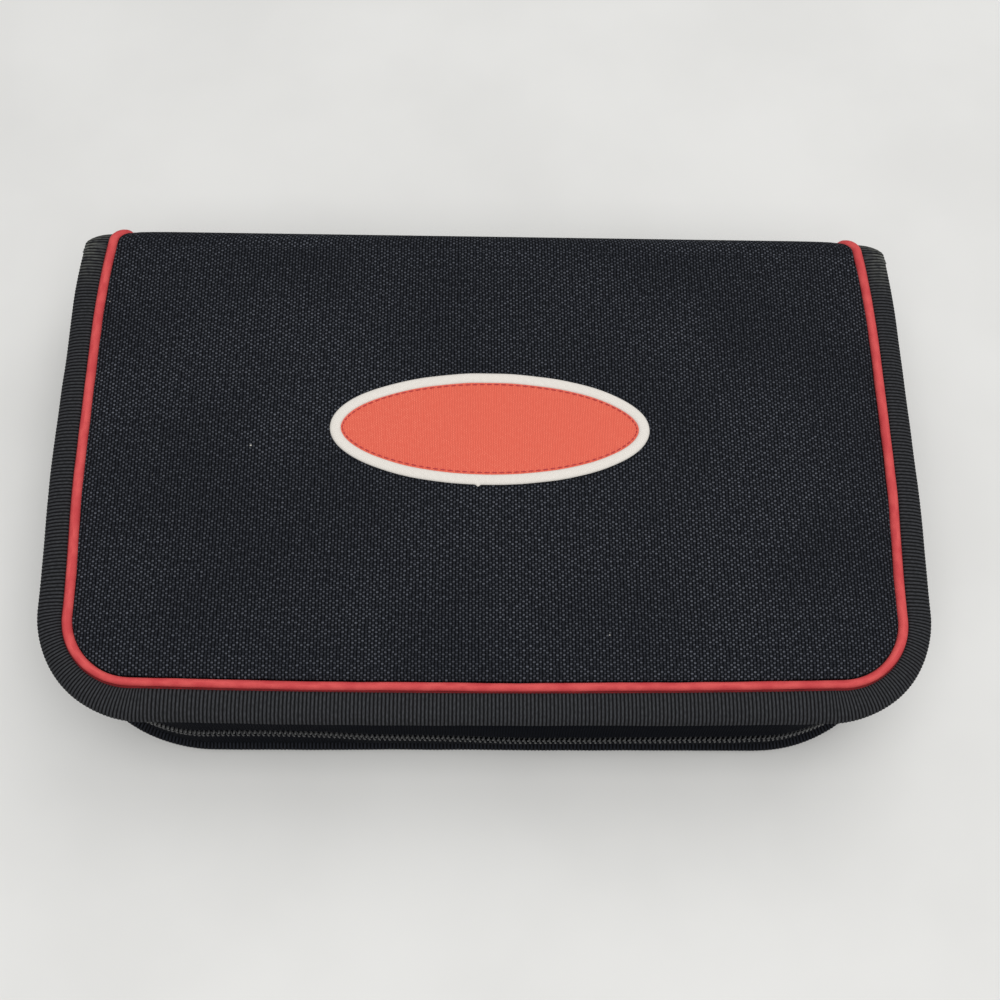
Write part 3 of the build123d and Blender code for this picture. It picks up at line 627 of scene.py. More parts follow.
@dataclass(frozen=True)
class WovenCloth(Finish):
    """Plain weave: crossing threads, each showing as a small raised float between darker gaps."""

    pitch: tuple[float, float] = (0.97, 0.66)
    gap: str = "050608"
    float_colour: str = "5A5D65"
    relief: float = 0.2
    sheen: float = 0.0
    gloss: float = 0.1
    lint: str = ""
    drift_scale: float = 0.35
    drift: tuple[float, float, float] = (0.5, 0.5, 0.0)
    over: tuple[float, float] = (0.0, 0.8)
    between_columns: tuple[float, float] = (0.15, 0.95)
    uneven: Noise = Noise(1.3, 3.0, onto=(0.1, 1.0))
    streak: Noise = Noise(0.7, between=(0.25, 0.75), onto=(0.6, 1.0), squeezed=(1.0, 0.12, 1.0))
    cloud: Noise = Noise(55.0, onto=(0.6, 1.0))
    lint_spacing: float = 12.0
    lint_edge: tuple[float, float] = (0.016, 0.03)
    lint_kept: tuple[float, float] = (0.45, 0.75)

    def dress(self, tree: bpy.types.NodeTree) -> None:
        """Builds floats of warp and weft from two crossed sine waves, with uneven threads and a little lint."""
        place = self.millimetres(tree)
        swirl = add_node(tree, "TexNoise", {"Scale": self.drift_scale, "Detail": 1.0}, {"Vector": place})
        drifted = add_node(
            tree, "VectorMath", {"operation": "MULTIPLY_ADD", 1: self.drift}, {0: swirl.outputs[1], 2: place}
        )
        parts = self.parts(tree, drifted.outputs[0])
        waves = [self.wave(tree, parts[axis], 2 * self.pitch[axis]) for axis in (0, 1)]
        crossing = self.reckoned(tree, "MULTIPLY", *waves)
        lit = self.ranged(tree, crossing, self.over)
        for pattern in (self.uneven, self.streak, self.cloud):
            lit = self.reckoned(tree, "MULTIPLY", lit, self.share(tree, place, pattern))
        column = self.ranged(tree, self.reckoned(tree, "ABSOLUTE", waves[0]), self.between_columns)
        colour = self.mixed(tree, lit, self.mixed(tree, column, self.gap, self.colour), self.float_colour)
        if self.lint:
            colour = self.dusted(tree, place, colour)
        settings = {"Sheen Weight": self.sheen, "Sheen Roughness": 0.45, "Specular IOR Level": self.gloss}
        self.surface(tree, settings, colour, self.reckoned(tree, "ABSOLUTE", crossing), self.relief)

    def dusted(
        self, tree: bpy.types.NodeTree, place: bpy.types.NodeSocket, colour: bpy.types.NodeSocket
    ) -> bpy.types.NodeSocket:
        """Lays a few pale specks of lint, about 0.6 mm across and 12 mm apart, over a colour."""
        cells = add_node(tree, "TexVoronoi", {"Scale": 1.0 / self.lint_spacing}, {"Vector": place})
        near = self.ranged(tree, cells.outputs["Distance"], self.lint_edge, (1.0, 0.0))
        some = add_node(tree, "SeparateColor", None, {0: cells.outputs["Color"]}).outputs[0]
        share = self.reckoned(tree, "MULTIPLY", near, self.ranged(tree, some, self.lint_kept))
        return self.mixed(tree, share, colour, self.lint)


@dataclass(frozen=True)
class RibbedTape(Finish):
    """Grosgrain or zip tape: fine ribs across a woven band, paler where handling has worn the rib tops."""

    rib: float = CASE.rib
    groove: str = "060607"
    worn: str = "6C6D66"
    relief: float = 0.06
    rib_share: float = 0.75
    gloss: float = 0.12
    thread: Noise = Noise(0.3, between=(0.3, 0.7), onto=(0.5, 1.0), squeezed=(1.0, 0.25, 1.0))
    thread_height: float = 0.2
    rubbing: Noise = Noise(2.4, 4.0, (0.3, 0.62))

    def dress(self, tree: bpy.types.NodeTree) -> None:
        """Builds ribs from u, with a thread grain along each and wear from the mesh's own attribute."""
        place = self.millimetres(tree)
        wave = self.wave(tree, self.parts(tree, place)[0], self.rib, "COSINE")
        rib = self.ranged(tree, wave, (-1.0, self.rib_share))
        thread = self.grains(tree, place, self.thread)
        wear = add_node(tree, "Attribute", {"attribute_name": "wear"}).outputs["Fac"]
        rubbed = self.reckoned(tree, "MULTIPLY", self.share(tree, place, self.rubbing), rib)
        rubbed = self.reckoned(tree, "MULTIPLY", rubbed, wear)
        woven = self.ranged(tree, thread, self.thread.between, self.thread.onto)
        base = self.mixed(tree, rib, self.groove, self.mixed(tree, woven, self.groove, self.colour))
        height = self.reckoned(tree, "ADD", self.reckoned(tree, "MULTIPLY", thread, self.thread_height), rib)
        colour = self.mixed(tree, rubbed, base, self.worn)
        self.surface(tree, {"Specular IOR Level": self.gloss}, colour, height, self.relief)


@dataclass(frozen=True)
class CordCloth(Finish):
    """Bias cloth stretched over a cord: a fine slanted weave that darkens towards its seam."""

    thread: float = 0.32
    seam: str = "6A1116"
    high: str = "D9585A"
    relief: float = 0.05
    gloss: float = 0.2
    slant: float = math.radians(45)
    blotch: Noise = Noise(6.0, 3.0, (0.3, 0.7))
    thread_tops: tuple[float, float] = (0.0, 0.6)
    thread_gaps: tuple[float, float] = (0.0, 0.35)

    def dress(self, tree: bpy.types.NodeTree) -> None:
        """Builds a diagonal weave with soft blotches where the cord shows through."""
        place = self.millimetres(tree)
        turned = add_node(tree, "Mapping", {"Rotation": (0.0, 0.0, self.slant)}, {"Vector": place}).outputs[0]
        waves = [self.wave(tree, part, 2 * self.thread) for part in self.parts(tree, turned)[:2]]
        height = self.reckoned(tree, "ABSOLUTE", self.reckoned(tree, "MULTIPLY", *waves))
        threads = self.ranged(tree, height, self.thread_tops, (0.55, 1.0))
        lit = self.reckoned(tree, "MULTIPLY", self.share(tree, place, self.blotch), threads)
        raised = self.ranged(tree, height, self.thread_gaps, (0.8, 1.0))
        colour = self.mixed(tree, raised, self.seam, self.mixed(tree, lit, self.colour, self.high))
        self.surface(tree, {"Specular IOR Level": self.gloss}, colour, height, self.relief)


@dataclass(frozen=True)
class MouldedPlastic(Finish):
    """Injection-moulded plastic with a spark-eroded grain and a faint unevenness of colour."""

    grain: float = 0.35
    relief: float = 0.015
    fleck: str = ""
    coat: float = 0.0
    coordinates: Coordinates = Coordinates.SOLID
    cloud: Noise = Noise(18.0)
    gloss_spread: float = 0.07

    def dress(self, tree: bpy.types.NodeTree) -> None:
        """Builds a fine grain in the gloss and the relief, and slow clouds in the colour."""
        place = self.millimetres(tree)
        fine = self.grains(tree, place, Noise(self.grain, 3.0))
        colour = self.mixed(tree, self.share(tree, place, self.cloud), self.colour, self.fleck or self.colour)
        glossy = (max(self.roughness - self.gloss_spread, 0.02), self.roughness + self.gloss_spread)
        rough = self.ranged(tree, fine, (0.3, 0.7), glossy)
        self.surface(tree, {"Coat Weight": self.coat, "Coat Roughness": 0.25}, colour, fine, self.relief, rough)


@dataclass(frozen=True)
class Metal(Finish):
    """Plated or lacquered metal with drawn or tumbled scratches."""

    metallic: float = 1.0
    scratch: float = 0.25
    relief: float = 0.006
    edge: str = ""
    coordinates: Coordinates = Coordinates.SOLID
    lines: Noise = Noise(0.6, 4.0, (0.3, 0.7), squeezed=(1.0, 6.0, 6.0))
    rubbing: Noise = Noise(1.5, 4.0, (0.5, 0.75))

    def dress(self, tree: bpy.types.NodeTree) -> None:
        """Builds fine scratches in the gloss and a rubbed tone in the colour."""
        place = self.millimetres(tree)
        lines = self.grains(tree, place, self.lines)
        colour = self.mixed(tree, self.share(tree, place, self.rubbing), self.colour, self.edge or self.colour)
        spread = self.scratch / 3
        rough = self.ranged(
            tree, lines, self.lines.between, (max(self.roughness - spread, 0.05), self.roughness + spread)
        )
        self.surface(tree, {"Metallic": self.metallic}, colour, lines, self.relief, rough)


@dataclass(frozen=True)
class Paper(Finish):
    """Uncoated paper: soft fibres in a pale sheet, with the cut edges of the sheets as thin lines."""

    leaf: float = 0.12
    leaf_tone: float = 0.06
    relief: float = 0.02
    shadow: str = "B9B4A8"
    coordinates: Coordinates = Coordinates.SOLID
    fibres: Noise = Noise(0.5, 5.0, (0.25, 0.75), (0.0, 0.25))

    def dress(self, tree: bpy.types.NodeTree) -> None:
        """Builds fibres and, along Z, the lines between the leaves."""
        place = self.millimetres(tree)
        wave = self.wave(tree, self.parts(tree, place)[2], self.leaf)
        fibres = self.grains(tree, place, self.fibres)
        tone = self.ranged(tree, fibres, self.fibres.between, self.fibres.onto)
        leaves = self.reckoned(tree, "MULTIPLY_ADD", wave, self.leaf_tone, self.leaf_tone)
        colour = self.mixed(tree, self.reckoned(tree, "ADD", tone, leaves), self.colour, self.shadow)
        self.surface(tree, {"Specular IOR Level": 0.3}, colour, fibres, self.relief)


@dataclass(frozen=True)
class TableTop(Finish):
    """Matt laminate with slow clouds of tone."""

    shade: str = "D8D7D4"
    cloud: Noise = Noise(90.0, 4.0, (0.3, 0.7))

    def dress(self, tree: bpy.types.NodeTree) -> None:
        """Builds the clouds."""
        share = self.share(tree, self.millimetres(tree), self.cloud)
        self.surface(tree, {"Specular IOR Level": 0.2}, self.mixed(tree, share, self.colour, self.shade))


# The narrow plain weave that lining, bag and badge ground share: pitch in millimetres
FINE_WEAVE = (0.5, 0.4)


class Finishes:
    """Every finish on the case, named for the real material and how it was made; the base's ribbon and the piping's
    flat seam are darker copies of their cloth whose colour paints shade.
    """

    # 1680-denier polyester in a plain weave, about 10 by 15 threads a centimetre: matt black with a navy cast,
    # each float a small grey point
    COVER = WovenCloth(
        "plain_woven_polyester_1680d",
        "1F2126",
        0.85,
        float_colour="666971",
        gap="020203",
        gloss=0.05,
        lint="B9B7B0",
    )
    # Grosgrain ribbon: close ribs across a black band, worn grey at the back corners
    BAND = RibbedTape("grosgrain_ribbon_polyester", "3D3E41", 0.82)
    # The same ribbon round the base, painted darker for the shade it lies in under the lid's band
    SHADED_BASE_BAND = RibbedTape("grosgrain_ribbon_unfaded", "26282E", 0.85, worn="55564F", gloss=0.06)
    # Cotton-polyester bias cloth over a cord: warm red with a soft shine along its crown
    PIPING = CordCloth("bias_cloth_piping", "C44245", 0.65, high="DC5A58")
    # The same bias cloth where it lies flat in the seam, painted deep red for the shade its cord casts on it
    PIPING_SEAM = CordCloth("bias_cloth_seam", "5E1216", 0.8, seam="2E0709", high="7A1D20")
    # Black fibre board: stiff grey-black sheet between foam and lining
    STIFFENER = MouldedPlastic("pressed_fibre_board", "2A2A2B", 0.7, fleck="242425", relief=0.02)
    # Nylon taffeta: smooth thin black cloth with a slight gloss, glued to the board
    LINING = WovenCloth(
        "nylon_taffeta_lining",
        "1F2024",
        0.55,
        pitch=FINE_WEAVE,
        gap="121315",
        float_colour="2E3036",
        relief=0.03,
        gloss=0.4,
    )
    # Herringbone zip tape: narrow ribs, deeper black than the cover
    TAPE = RibbedTape("herringbone_zip_tape", "0D1017", 0.9, rib=0.8, groove="05060A", relief=0.05, gloss=0.03)
    # Nylon monofilament coil: dark, smooth and a little shiny on each turn
    COIL = MouldedPlastic("nylon_monofilament_coil", "0E0F12", 0.34, grain=0.2, relief=0.004, fleck="121317")
    # Zinc die-casting under black lacquer, rubbed on its edges
    ZINC = Metal("black_lacquered_zinc", "1B1B1D", 0.38, metallic=0.6, edge="3A3A3C")
    # Drawn steel wire: bright with fine lines along it
    STEEL = Metal("drawn_steel_wire", "B9B9BC", 0.3)
    # Plated steel rivets: smooth pressed heads
    RIVET = Metal("plated_steel_rivets", "C4C4C6", 0.25)
    # Moulded ABS board: deep green with a spark-eroded grain
    BOARD = MouldedPlastic("moulded_abs_board", "2E4A4A", 0.5, fleck="2A4545")
    # Cream ABS ridges, moulded over the board
    RIDGES = MouldedPlastic("moulded_abs_ridges", "CCC5B4", 0.45, fleck="C6BEAB")
    # Red polystyrene racks: satin moulded faces
    RACK = MouldedPlastic("moulded_polystyrene_racks", "AA3334", 0.32, fleck="A42F31", relief=0.008, coat=0.1)
    # Ivory urea tiles: smooth with a mellow shine
    TILE = MouldedPlastic("moulded_ivory_tiles", "E7D9B8", 0.35, fleck="DECDA8", relief=0.006, coat=0.15)
    # Woven elastic: narrow black band, ribbed by its rubber cores
    ELASTIC = RibbedTape("woven_elastic", "1B1B1D", 0.85, rib=0.7, relief=0.08)
    # Bag cloth: red nylon taffeta with crisp small threads
    BAG = WovenCloth(
        "red_nylon_bag_cloth",
        "A8302F",
        0.55,
        pitch=FINE_WEAVE,
        gap="701A1B",
        float_colour="BE4443",
        relief=0.04,
        sheen=0.1,
        gloss=0.35,
    )
    # Knitted mesh: soft black cloth with open rows
    MESH = WovenCloth(
        "knitted_mesh_cloth", "1B1B1E", 0.8, pitch=(1.1, 0.9), gap="050506", float_colour="3A3C42", relief=0.25
    )
    # Uncoated writing paper: pale and dull, with fine lines where the sheets are cut
    PAPER = Paper("uncoated_score_paper", "EFEDE4", 0.85)
    # Embroidered badge ground: coral twill with a slight gloss
    FIELD = WovenCloth(
        "coral_badge_twill",
        "E0654F",
        0.75,
        pitch=FINE_WEAVE,
        gap="C9503E",
        float_colour="F08068",
        relief=0.05,
        gloss=0.3,
    )
    # Back-stitched line that holds the patch: a darker red thread
    STITCHES = CordCloth("red_sewing_thread", "B03840", 0.6, seam="8A2A30", high="BC444A")
    # Merrowed edge: off-white rayon yarn laid closely across the edge
    MERROW = WovenCloth(
        "merrowed_rayon_yarn",
        "E6E1D9",
        0.6,
        pitch=(0.35, 0.6),
        gap="C4BCB2",
        float_colour="F0ECE6",
        relief=0.03,
        gloss=0.3,
    )
    # Pale matt laminate of the table top: near white with hardly any shine
    TABLE = TableTop("matt_laminate_table", "DEDDDA", 0.6)


def finish_piece(
    obj: bpy.types.Object,
    finish: Finish,
    body: str | None,
    stands_for: Sequence[str],
) -> bpy.types.Object:
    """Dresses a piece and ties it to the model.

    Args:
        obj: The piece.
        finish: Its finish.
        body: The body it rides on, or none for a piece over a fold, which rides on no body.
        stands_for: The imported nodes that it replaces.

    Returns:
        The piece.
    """
    obj.data.materials.append(finish.material())
    if body is not None:
        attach(obj, body)
    if stands_for:
        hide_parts(*stands_for)
    LOG.info("piece %s", obj.name)
    return obj


def declare_sheet(obj: bpy.types.Object) -> bpy.types.Object:
    """Hands a piece of cloth back unchanged; nothing is declared or set on it.

    Args:
        obj: The piece.

    Returns:
        The piece.
    """
    return obj


def dress_node(node: str, finish: Finish, bevel: float = 0.0) -> None:
    """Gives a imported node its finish.

    Args:
        node: The node's name.
        finish: Its finish.
        bevel: Rounding of its sharp edges, in millimetres.
    """
    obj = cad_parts[node]
    material = finish.material()
    if not obj.data.materials:
        obj.data.materials.append(material)
    for place in obj.material_slots:
        place.material = material
    if bevel:
        rounding = obj.modifiers.new("rounded_edges", "BEVEL")
        rounding.width = bevel * MM
        rounding.segments = 2
        rounding.limit_method = "ANGLE"
        rounding.angle_limit = math.radians(40)
    LOG.info("node %s", node)


# ---------------------------------------------------------------- padded covers
def mark_wear(band: bpy.types.Object, worn: Array) -> None:
    """Writes how far each vertex of a band is rubbed grey, from 0 to 1."""
    band.data.attributes.new("wear", "FLOAT", "POINT").data.foreach_set("value", worn.astype(np.float32))


@dataclass
class PaddedCover:
    """One cover of the folio: foam under woven cloth, lining inside, piping and a grosgrain band round three sides."""

    side: Side
    # The crown: how the padded face rolls down to its seam, and how much of that is lost towards the fold
    crown_width: float = 16.0
    crown_drop: float = 1.7
    crown_loss: float = 0.68
    panel_gap: float = 1.6
    bow_reach: float = 45.0
    fold_sink: float = 0.14
    fold_sink_reach: float = 3.0
    sewn_reach: tuple[float, float] = (0.5, 8.0)
    fold_reach: float = 12.0
    swell: float = 0.9
    crumples: tuple[Wave, ...] = ((0.22, 46.0, 1.0), (0.09, 17.0, 2.0))
    column_count: int = 84
    corner_rows: int = 17
    row_step: float = 3.2
    pad_depth: float = 3.9
    # The cloth simulation: its settings, its frames and the rise that counts as a full swell, in millimetres
    cloth: tuple[tuple[str, float | bool | str], ...] = (
        ("quality", 6),
        ("mass", 0.3),
        ("tension_stiffness", 20),
        ("compression_stiffness", 20),
        ("bending_stiffness", 8),
        ("use_pressure", True),
        ("uniform_pressure_force", 4),
        ("vertex_group_mass", "sewn"),
    )
    cloth_frames: int = 20
    full_rise: float = 1.5
    # The band: its section as (inset, height), the ends of its outer leaf and how uneven it is
    band_section: Section = (
        (9.3, 2.9), (8.9, 2.0), (7.8, 1.72), (5.6, 1.85), (3.6, 2.15), (1.9, 2.75), (0.7, 3.55),
        (0.1, 4.6), (0.55, 5.6), (1.9, 6.2), (4.2, 6.32), (6.4, 6.32), (7.8, 6.25), (8.1, 6.0),
        (7.6, 5.75), (4.0, 5.7), (1.6, 5.2), (1.0, 4.5), (2.4, 3.4), (5.0, 2.7), (8.4, 2.7),
    )
    band_samples: int = 40
    band_outer: float = 9.0
    leaf_level: float = 5.2
    edge_loss: float = 0.38
    flange: float = 1.55
    worn: float = 0.7
    # The piping: how uneven its cord is, and how it rises and thins along the front and at the fold
    cord_loss: float = 0.5
    cord_sway: tuple[Wave, ...] = ((0.16, 30.0, 5.0), (0.07, 9.0, 6.0))
    cord_lift: Wave = (0.12, 24.0, 7.0)
    cord_waver: Wave = (0.06, 11.0, 8.0)
    front_rise: float = 0.2
    front_thinning: float = 0.18
    end_thinning: float = 0.12
    seam_radius: float = 0.6
    seam_drop: float = 0.75
    # Lining and board, as insets and levels
    lining_inset: float = 7.9
    lining_roll: Section = ((0.15, 5.3), (0.0, 5.85), (0.5, 6.0))
    lining_turn: Section = (
        (75.02, 5.9), (75.1, 4.4), (75.1, 2.2), (75.0, 1.0), (74.5, 0.95), (74.4, 2.4), (74.4, 5.6)
    )
    board_inset: float = 4.0
    board_taper: float = 6.0
    board_levels: tuple[float, float] = (3.95, 5.2)
    board_back: float = 0.4

    @property
    def body(self) -> str:
        """Name of the body the cover belongs to."""
        return self.side.value

    @property
    def edge(self) -> EdgeLine:
        """The band's outer edge; the base's front corners are pulled in by its gusset."""
        return EdgeLine(corner=34.0, pinch=1.2, bow=0.6) if self.side is Side.LID else EdgeLine(corner=50.0)

    @property
    def seam(self) -> EdgeLine:
        """The line the piping is sewn on."""
        corner, pinch, bow = (20.0, 1.6, 1.2) if self.side is Side.LID else (36.0, 0.0, 0.0)
        return EdgeLine(
            half_width=123.7, front=71.0, corner=corner, ease=2.3, ease_power=1.8, pinch=pinch, bow=bow
        )

    @staticmethod
    def flattened(y: Array | float) -> Array:
        """How far the cover's rolled edge has flattened at y, from 0 at its front to 1 at the fold."""
        return smooth_step(y, CASE.soften_from, CASE.cover_back)

    def half_widths(self, rows: Array) -> Array:
        """Half width of the padded panel at each y."""
        places, normals, _ = self.seam.sampled(0.25)
        inner = places - normals * self.panel_gap
        half = inner[: len(inner) // 2 + 1]
        order = np.argsort(half[:, 1], kind="stable")
        return np.interp(rows, half[order, 1], -half[order, 0])

    def panel_grid(self) -> tuple[Array, Array]:
        """Places of the panel's face seen from above and how far each is from its seam.

        Returns:
            Rows by columns by 2, and rows by columns.
        """
        seam = self.seam
        radius, corner = seam.corner - self.panel_gap, seam.corner_y
        front = corner - radius * np.sin(np.linspace(math.pi / 2, 0, self.corner_rows))
        count = int((CASE.cover_back - corner) / self.row_step)
        rows = np.concatenate((front, np.linspace(corner, CASE.cover_back, count + 1)[1:]))
        t = np.linspace(-1, 1, self.column_count)
        across = 0.5 * t + 0.5 * np.sin(math.pi * t / 2)
        halves = self.half_widths(rows)
        halves[0] = seam.corner_x
        grid = np.stack((across[None] * halves[:, None], np.repeat(rows[:, None], len(t), 1)), -1)
        near = smooth_step(-rows, seam.front - self.bow_reach, seam.front - seam.bow - self.panel_gap)
        grid[:, :, 1] -= near[:, None] * seam.bowed(grid[:, :, 0])
        places, normals, _ = seam.sampled(1.0)
        sewn = places - normals * self.panel_gap
        gaps = np.sqrt(((grid.reshape(-1, 1, 2) - sewn[None]) ** 2).sum(2)).min(1).reshape(grid.shape[:2])
        return grid, gaps

    def build_pad(self) -> bpy.types.Object:
        """Builds the padded face as a closed pad, swells it as cloth over foam and fades the swell at the fold."""
        grid, gaps = self.panel_grid()
        y = grid[:, :, 1]
        share = np.clip(1 - gaps / self.crown_width, 0, 1)
        depth = self.crown_drop * (1 - np.sqrt(1 - share**2)) * (1 - self.crown_loss * self.flattened(y))
        depth += self.fold_sink * smooth_step(y, CASE.cover_back - self.fold_sink_reach, CASE.cover_back)
        layers = [np.dstack((grid, level)) for level in (depth, np.full_like(depth, self.pad_depth))]
        points = np.concatenate(layers).reshape(-1, 3)
        shift = depth.size
        index = np.arange(shift).reshape(depth.shape)
        cells = np.stack((index[:-1, :-1], index[:-1, 1:], index[1:, 1:], index[1:, :-1]), -1).reshape(-1, 4)
        faces = [face for cell in cells for face in (cell, cell[::-1] + shift)]
        rim = [*index[0], *index[1:, -1], *index[-1, -2::-1], *index[-2:0:-1, 0]]
        faces += [(a, b, b + shift, a + shift) for a, b in zip(rim, rim[1:] + rim[:1])]
        loose = np.zeros(len(points))
        from_fold = smooth_step(CASE.cover_back - y, 0.0, self.fold_reach)
        loose[:shift] = (smooth_step(gaps, *self.sewn_reach) * from_fold).ravel()
        lift = np.zeros(len(points))
        if self.side is Side.LID:
            lift = self.swell * self.relaxed(points, faces, loose)
            lift += sum(size * loose * ripple(points[:, :2], length, seed) for size, length, seed in self.crumples)
        points[:, 2] = np.asarray(self.side.level(points[:, 2] - lift))
        pad = mesh_object(f"{self.body}_padded_cover", points, faces, face_uv(points, faces), sharp=60)
        nodes = (f"{self.body}_cover_fabric", f"{self.body}_foam_pad")
        finish_piece(pad, Finishes.COVER, self.body, nodes)
        return pad

    def relaxed(self, points: Array, faces: Sequence[Sequence[int]], loose: Array) -> Array:
        """How far each point of the cloth swells away from the board, from 0 to 1, by cloth simulation.

        Args:
            points: The closed pad with its face at low Z, in millimetres.
            faces: Its faces.
            loose: 0 where the cloth is sewn or glued down, 1 where it is free.

        Returns:
            One share for each point.
        """
        pad = mesh_object("swelling_pad", points * np.array((1, 1, -1)), faces)
        start = vertex_places(pad)
        pins = pad.vertex_groups.new(name="sewn")
        for i, free in enumerate(loose):
            if free < 0.999:
                pins.add([i], float(1 - free), "REPLACE")
        cloth = pad.modifiers.new("cloth", "CLOTH")
        for name, value in self.cloth:
            setattr(cloth.settings, name, value)
        cloth.settings.effector_weights.gravity = 0
        for number in range(1, self.cloth_frames + 1):
            bpy.context.scene.frame_set(number)
        settled = pad.evaluated_get(bpy.context.evaluated_depsgraph_get()).to_mesh()
        end = np.array([v.co for v in settled.vertices]) / MM
        bpy.context.scene.frame_set(1)
        rise = np.clip((end - start)[:, 2], 0, None)
        bpy.data.objects.remove(pad)
        LOG.info("cloth rise of the %s cover: %.2f mm", self.body, float(rise.max()))
        return np.tanh(rise / self.full_rise) * np.minimum(loose * 4, 1)

    def band_points(self) -> Array:
        """Closed section of the grosgrain band as (inset, height)."""
        return smooth_curve(self.band_section, self.band_samples)

    def build_band(self) -> bpy.types.Object:
        """Builds the grosgrain band with its ribs, slightly uneven along its edge."""
        profile = self.band_points()
        out = edge_normals(profile)
        places, _, stations = self.edge.sampled(2.0)
        reach = (self.seam.gap_to(places) - self.flange) / self.band_section[0][0]
        # The base's band takes the darker copy of the ribbon, whose colour paints the shade under the lid
        seed, finish = (3.0, Finishes.BAND) if self.side is Side.LID else (9.0, Finishes.SHADED_BASE_BAND)
        lean = smooth_step(self.band_outer - profile[:, 0], 0.0, self.band_outer - 1)
        leaf = smooth_step(self.leaf_level - profile[:, 1], 0.0, 1.0)

        def shape(along: Array, _: Array) -> tuple[Array, Array]:
            """Widens the outer leaf to reach the piping and adds ribs and slow unevenness."""
            rib = ribs(along)[:, None]
            wave = wander(along, (0.3, 38.0, seed), (0.14, 13.0, seed + 1))[:, None]
            lift = wander(along, (0.2, 29.0, seed + 2))[:, None]
            scale = (np.interp(along, stations, reach) - 1)[:, None]
            loss = self.edge_loss * self.flattened(np.interp(along, stations, places[:, 1]))[:, None]
            more_inset = rib * out[:, 0] + wave * lean + scale * (profile[:, 0] * leaf)
            return more_inset, rib * out[:, 1] + lift * lean - loss * profile[:, 1]

        band = self.edge.sweep(f"{self.body}_grosgrain_band", profile, CASE.rib / 4, self.side, shape)
        x, y, _ = vertex_places(band).T
        mark_wear(band, self.worn * smooth_step(y, 56.0, 76.0) * smooth_step(np.abs(x), *CASE.worn_reach))
        return finish_piece(band, finish, self.body, (f"{self.body}_edge_binding",))

    def build_piping(self) -> bpy.types.Object:
        """Builds the piping cord along its seam, a little uneven and thinner along the front."""
        places, normals, along = self.seam.sampled(1.2)
        y = places[:, 1]
        flat = places - normals * wander(along, *self.cord_sway)[:, None]
        front = smooth_step(-y, 56.0, 70.0)
        level = CASE.piping_level * (1 - self.cord_loss * self.flattened(y)) + self.front_rise * front
        level += wander(along, self.cord_lift)
        radius = CASE.piping_radius * (1 - self.front_thinning * front) + wander(along, self.cord_waver)
        radius -= self.end_thinning * smooth_step(y, CASE.cover_back - 2, CASE.cover_back)
        if self.side is Side.BASE:
            level = np.maximum(level, radius + CASE.floor_gap)
        piping = tube(f"{self.body}_piping_cord", np.column_stack((flat, self.side.level(level))), radius, 16)
        return finish_piece(piping, Finishes.PIPING, self.body, (f"{self.body}_piping",))

    def build_seam(self) -> bpy.types.Object:
        """Builds the flat edge of the piping's bias cloth, caught between the cord and the band; its deep red paints
        the cord's shade.
        """
        places, normals, _ = self.seam.sampled(1.2)
        flat = places + normals * (self.flange - 0.1)
        level = (CASE.piping_level + self.seam_drop) * (1 - self.edge_loss * self.flattened(places[:, 1]))
        centre = np.column_stack((flat, self.side.level(level)))
        seam = tube(f"{self.body}_piping_seam", centre, self.seam_radius, 8)
        return finish_piece(seam, Finishes.PIPING_SEAM, self.body, ())

    def levelled(self, ring: Array, level: float) -> Array:
        """A ring of places at a height from the cover's outer face."""
        return np.column_stack((ring, np.full(len(ring), self.side.level(level))))

    def inner_ring(self, step: float, inset: float, taper: float, back: float) -> Array:
        """The edge moved in by an inset that grows towards the fold, and closed along the back."""
        places, normals, _ = self.edge.sampled(step)
        inner = places - normals * (inset + taper * self.flattened(places[:, 1]))[:, None]
        return np.concatenate((inner, [[inner[-1, 0], back], [inner[0, 0], back]]))

    def build_lining(self) -> bpy.types.Object:
        """Builds the lining as a thin sheet that turns down at the back edge, with a soft roll along its seam."""
        ring = self.inner_ring(2.0, self.lining_inset, 0.0, CASE.cover_back)
        points = np.concatenate([self.levelled(ring - np.sign(ring) * drawn, z) for drawn, z in self.lining_roll])
        size = len(ring)
        faces = [range(size)[::-1], *ring_faces(3, size), range(2 * size, 3 * size)]
        lining = mesh_object(f"{self.body}_lining_sheet", points, faces, face_uv(points, faces), sharp=50)
        finish_piece(lining, Finishes.LINING, self.body, (f"{self.body}_lining",))
        return declare_sheet(lining)

    def build_stiffener(self) -> bpy.types.Object:
        """Builds the fibre board between foam and lining, cut back where the band thins towards the fold."""
        ring = self.inner_ring(3.0, self.board_inset, self.board_taper, CASE.cover_back - self.board_back)
        size = len(ring)
        points = np.concatenate([self.levelled(ring, z) for z in self.board_levels])
        faces = [range(size)[::-1], range(size, 2 * size), *ring_faces(2, size)]
        board = mesh_object(f"{self.body}_fibre_board", points, faces, sharp=40)
        return finish_piece(board, Finishes.STIFFENER, self.body, (f"{self.body}_stiffener",))

    def build_board_end(self) -> bpy.types.Object:
        """Builds the strip of lining that turns over the panel's back edge into the fold."""
        half = CASE.half_width - self.edge.ease - self.lining_inset + 1.0
        section = smooth_curve(self.lining_turn, 16)
        xs = np.linspace(-half, half, 60)
        points = np.array([[(x, y, self.side.level(z)) for y, z in section] for x in xs])
        strip = skin(f"{self.body}_lining_turn", points, grid_uv(xs, np.arange(len(section) + 1) * 0.8))
        return finish_piece(strip, Finishes.LINING, self.body, ())

    def build(self) -> bpy.types.Object:
        """Builds the whole cover.

        Returns:
            Its padded face.
        """
        pad = self.build_pad()
        self.build_band()
        self.build_piping()
        self.build_seam()
        self.build_stiffener()
        self.build_lining()
        self.build_board_end()
        return pad


# ---------------------------------------------------------------- spine and its two folds
class Stretch(Enum):
    """The three parts of the spine's cloth, as lengths along the line from the base over the spine to the lid."""

    LOWER_FOLD = "lower_fold"
    PANEL = "panel"
    UPPER_FOLD = "upper_fold"


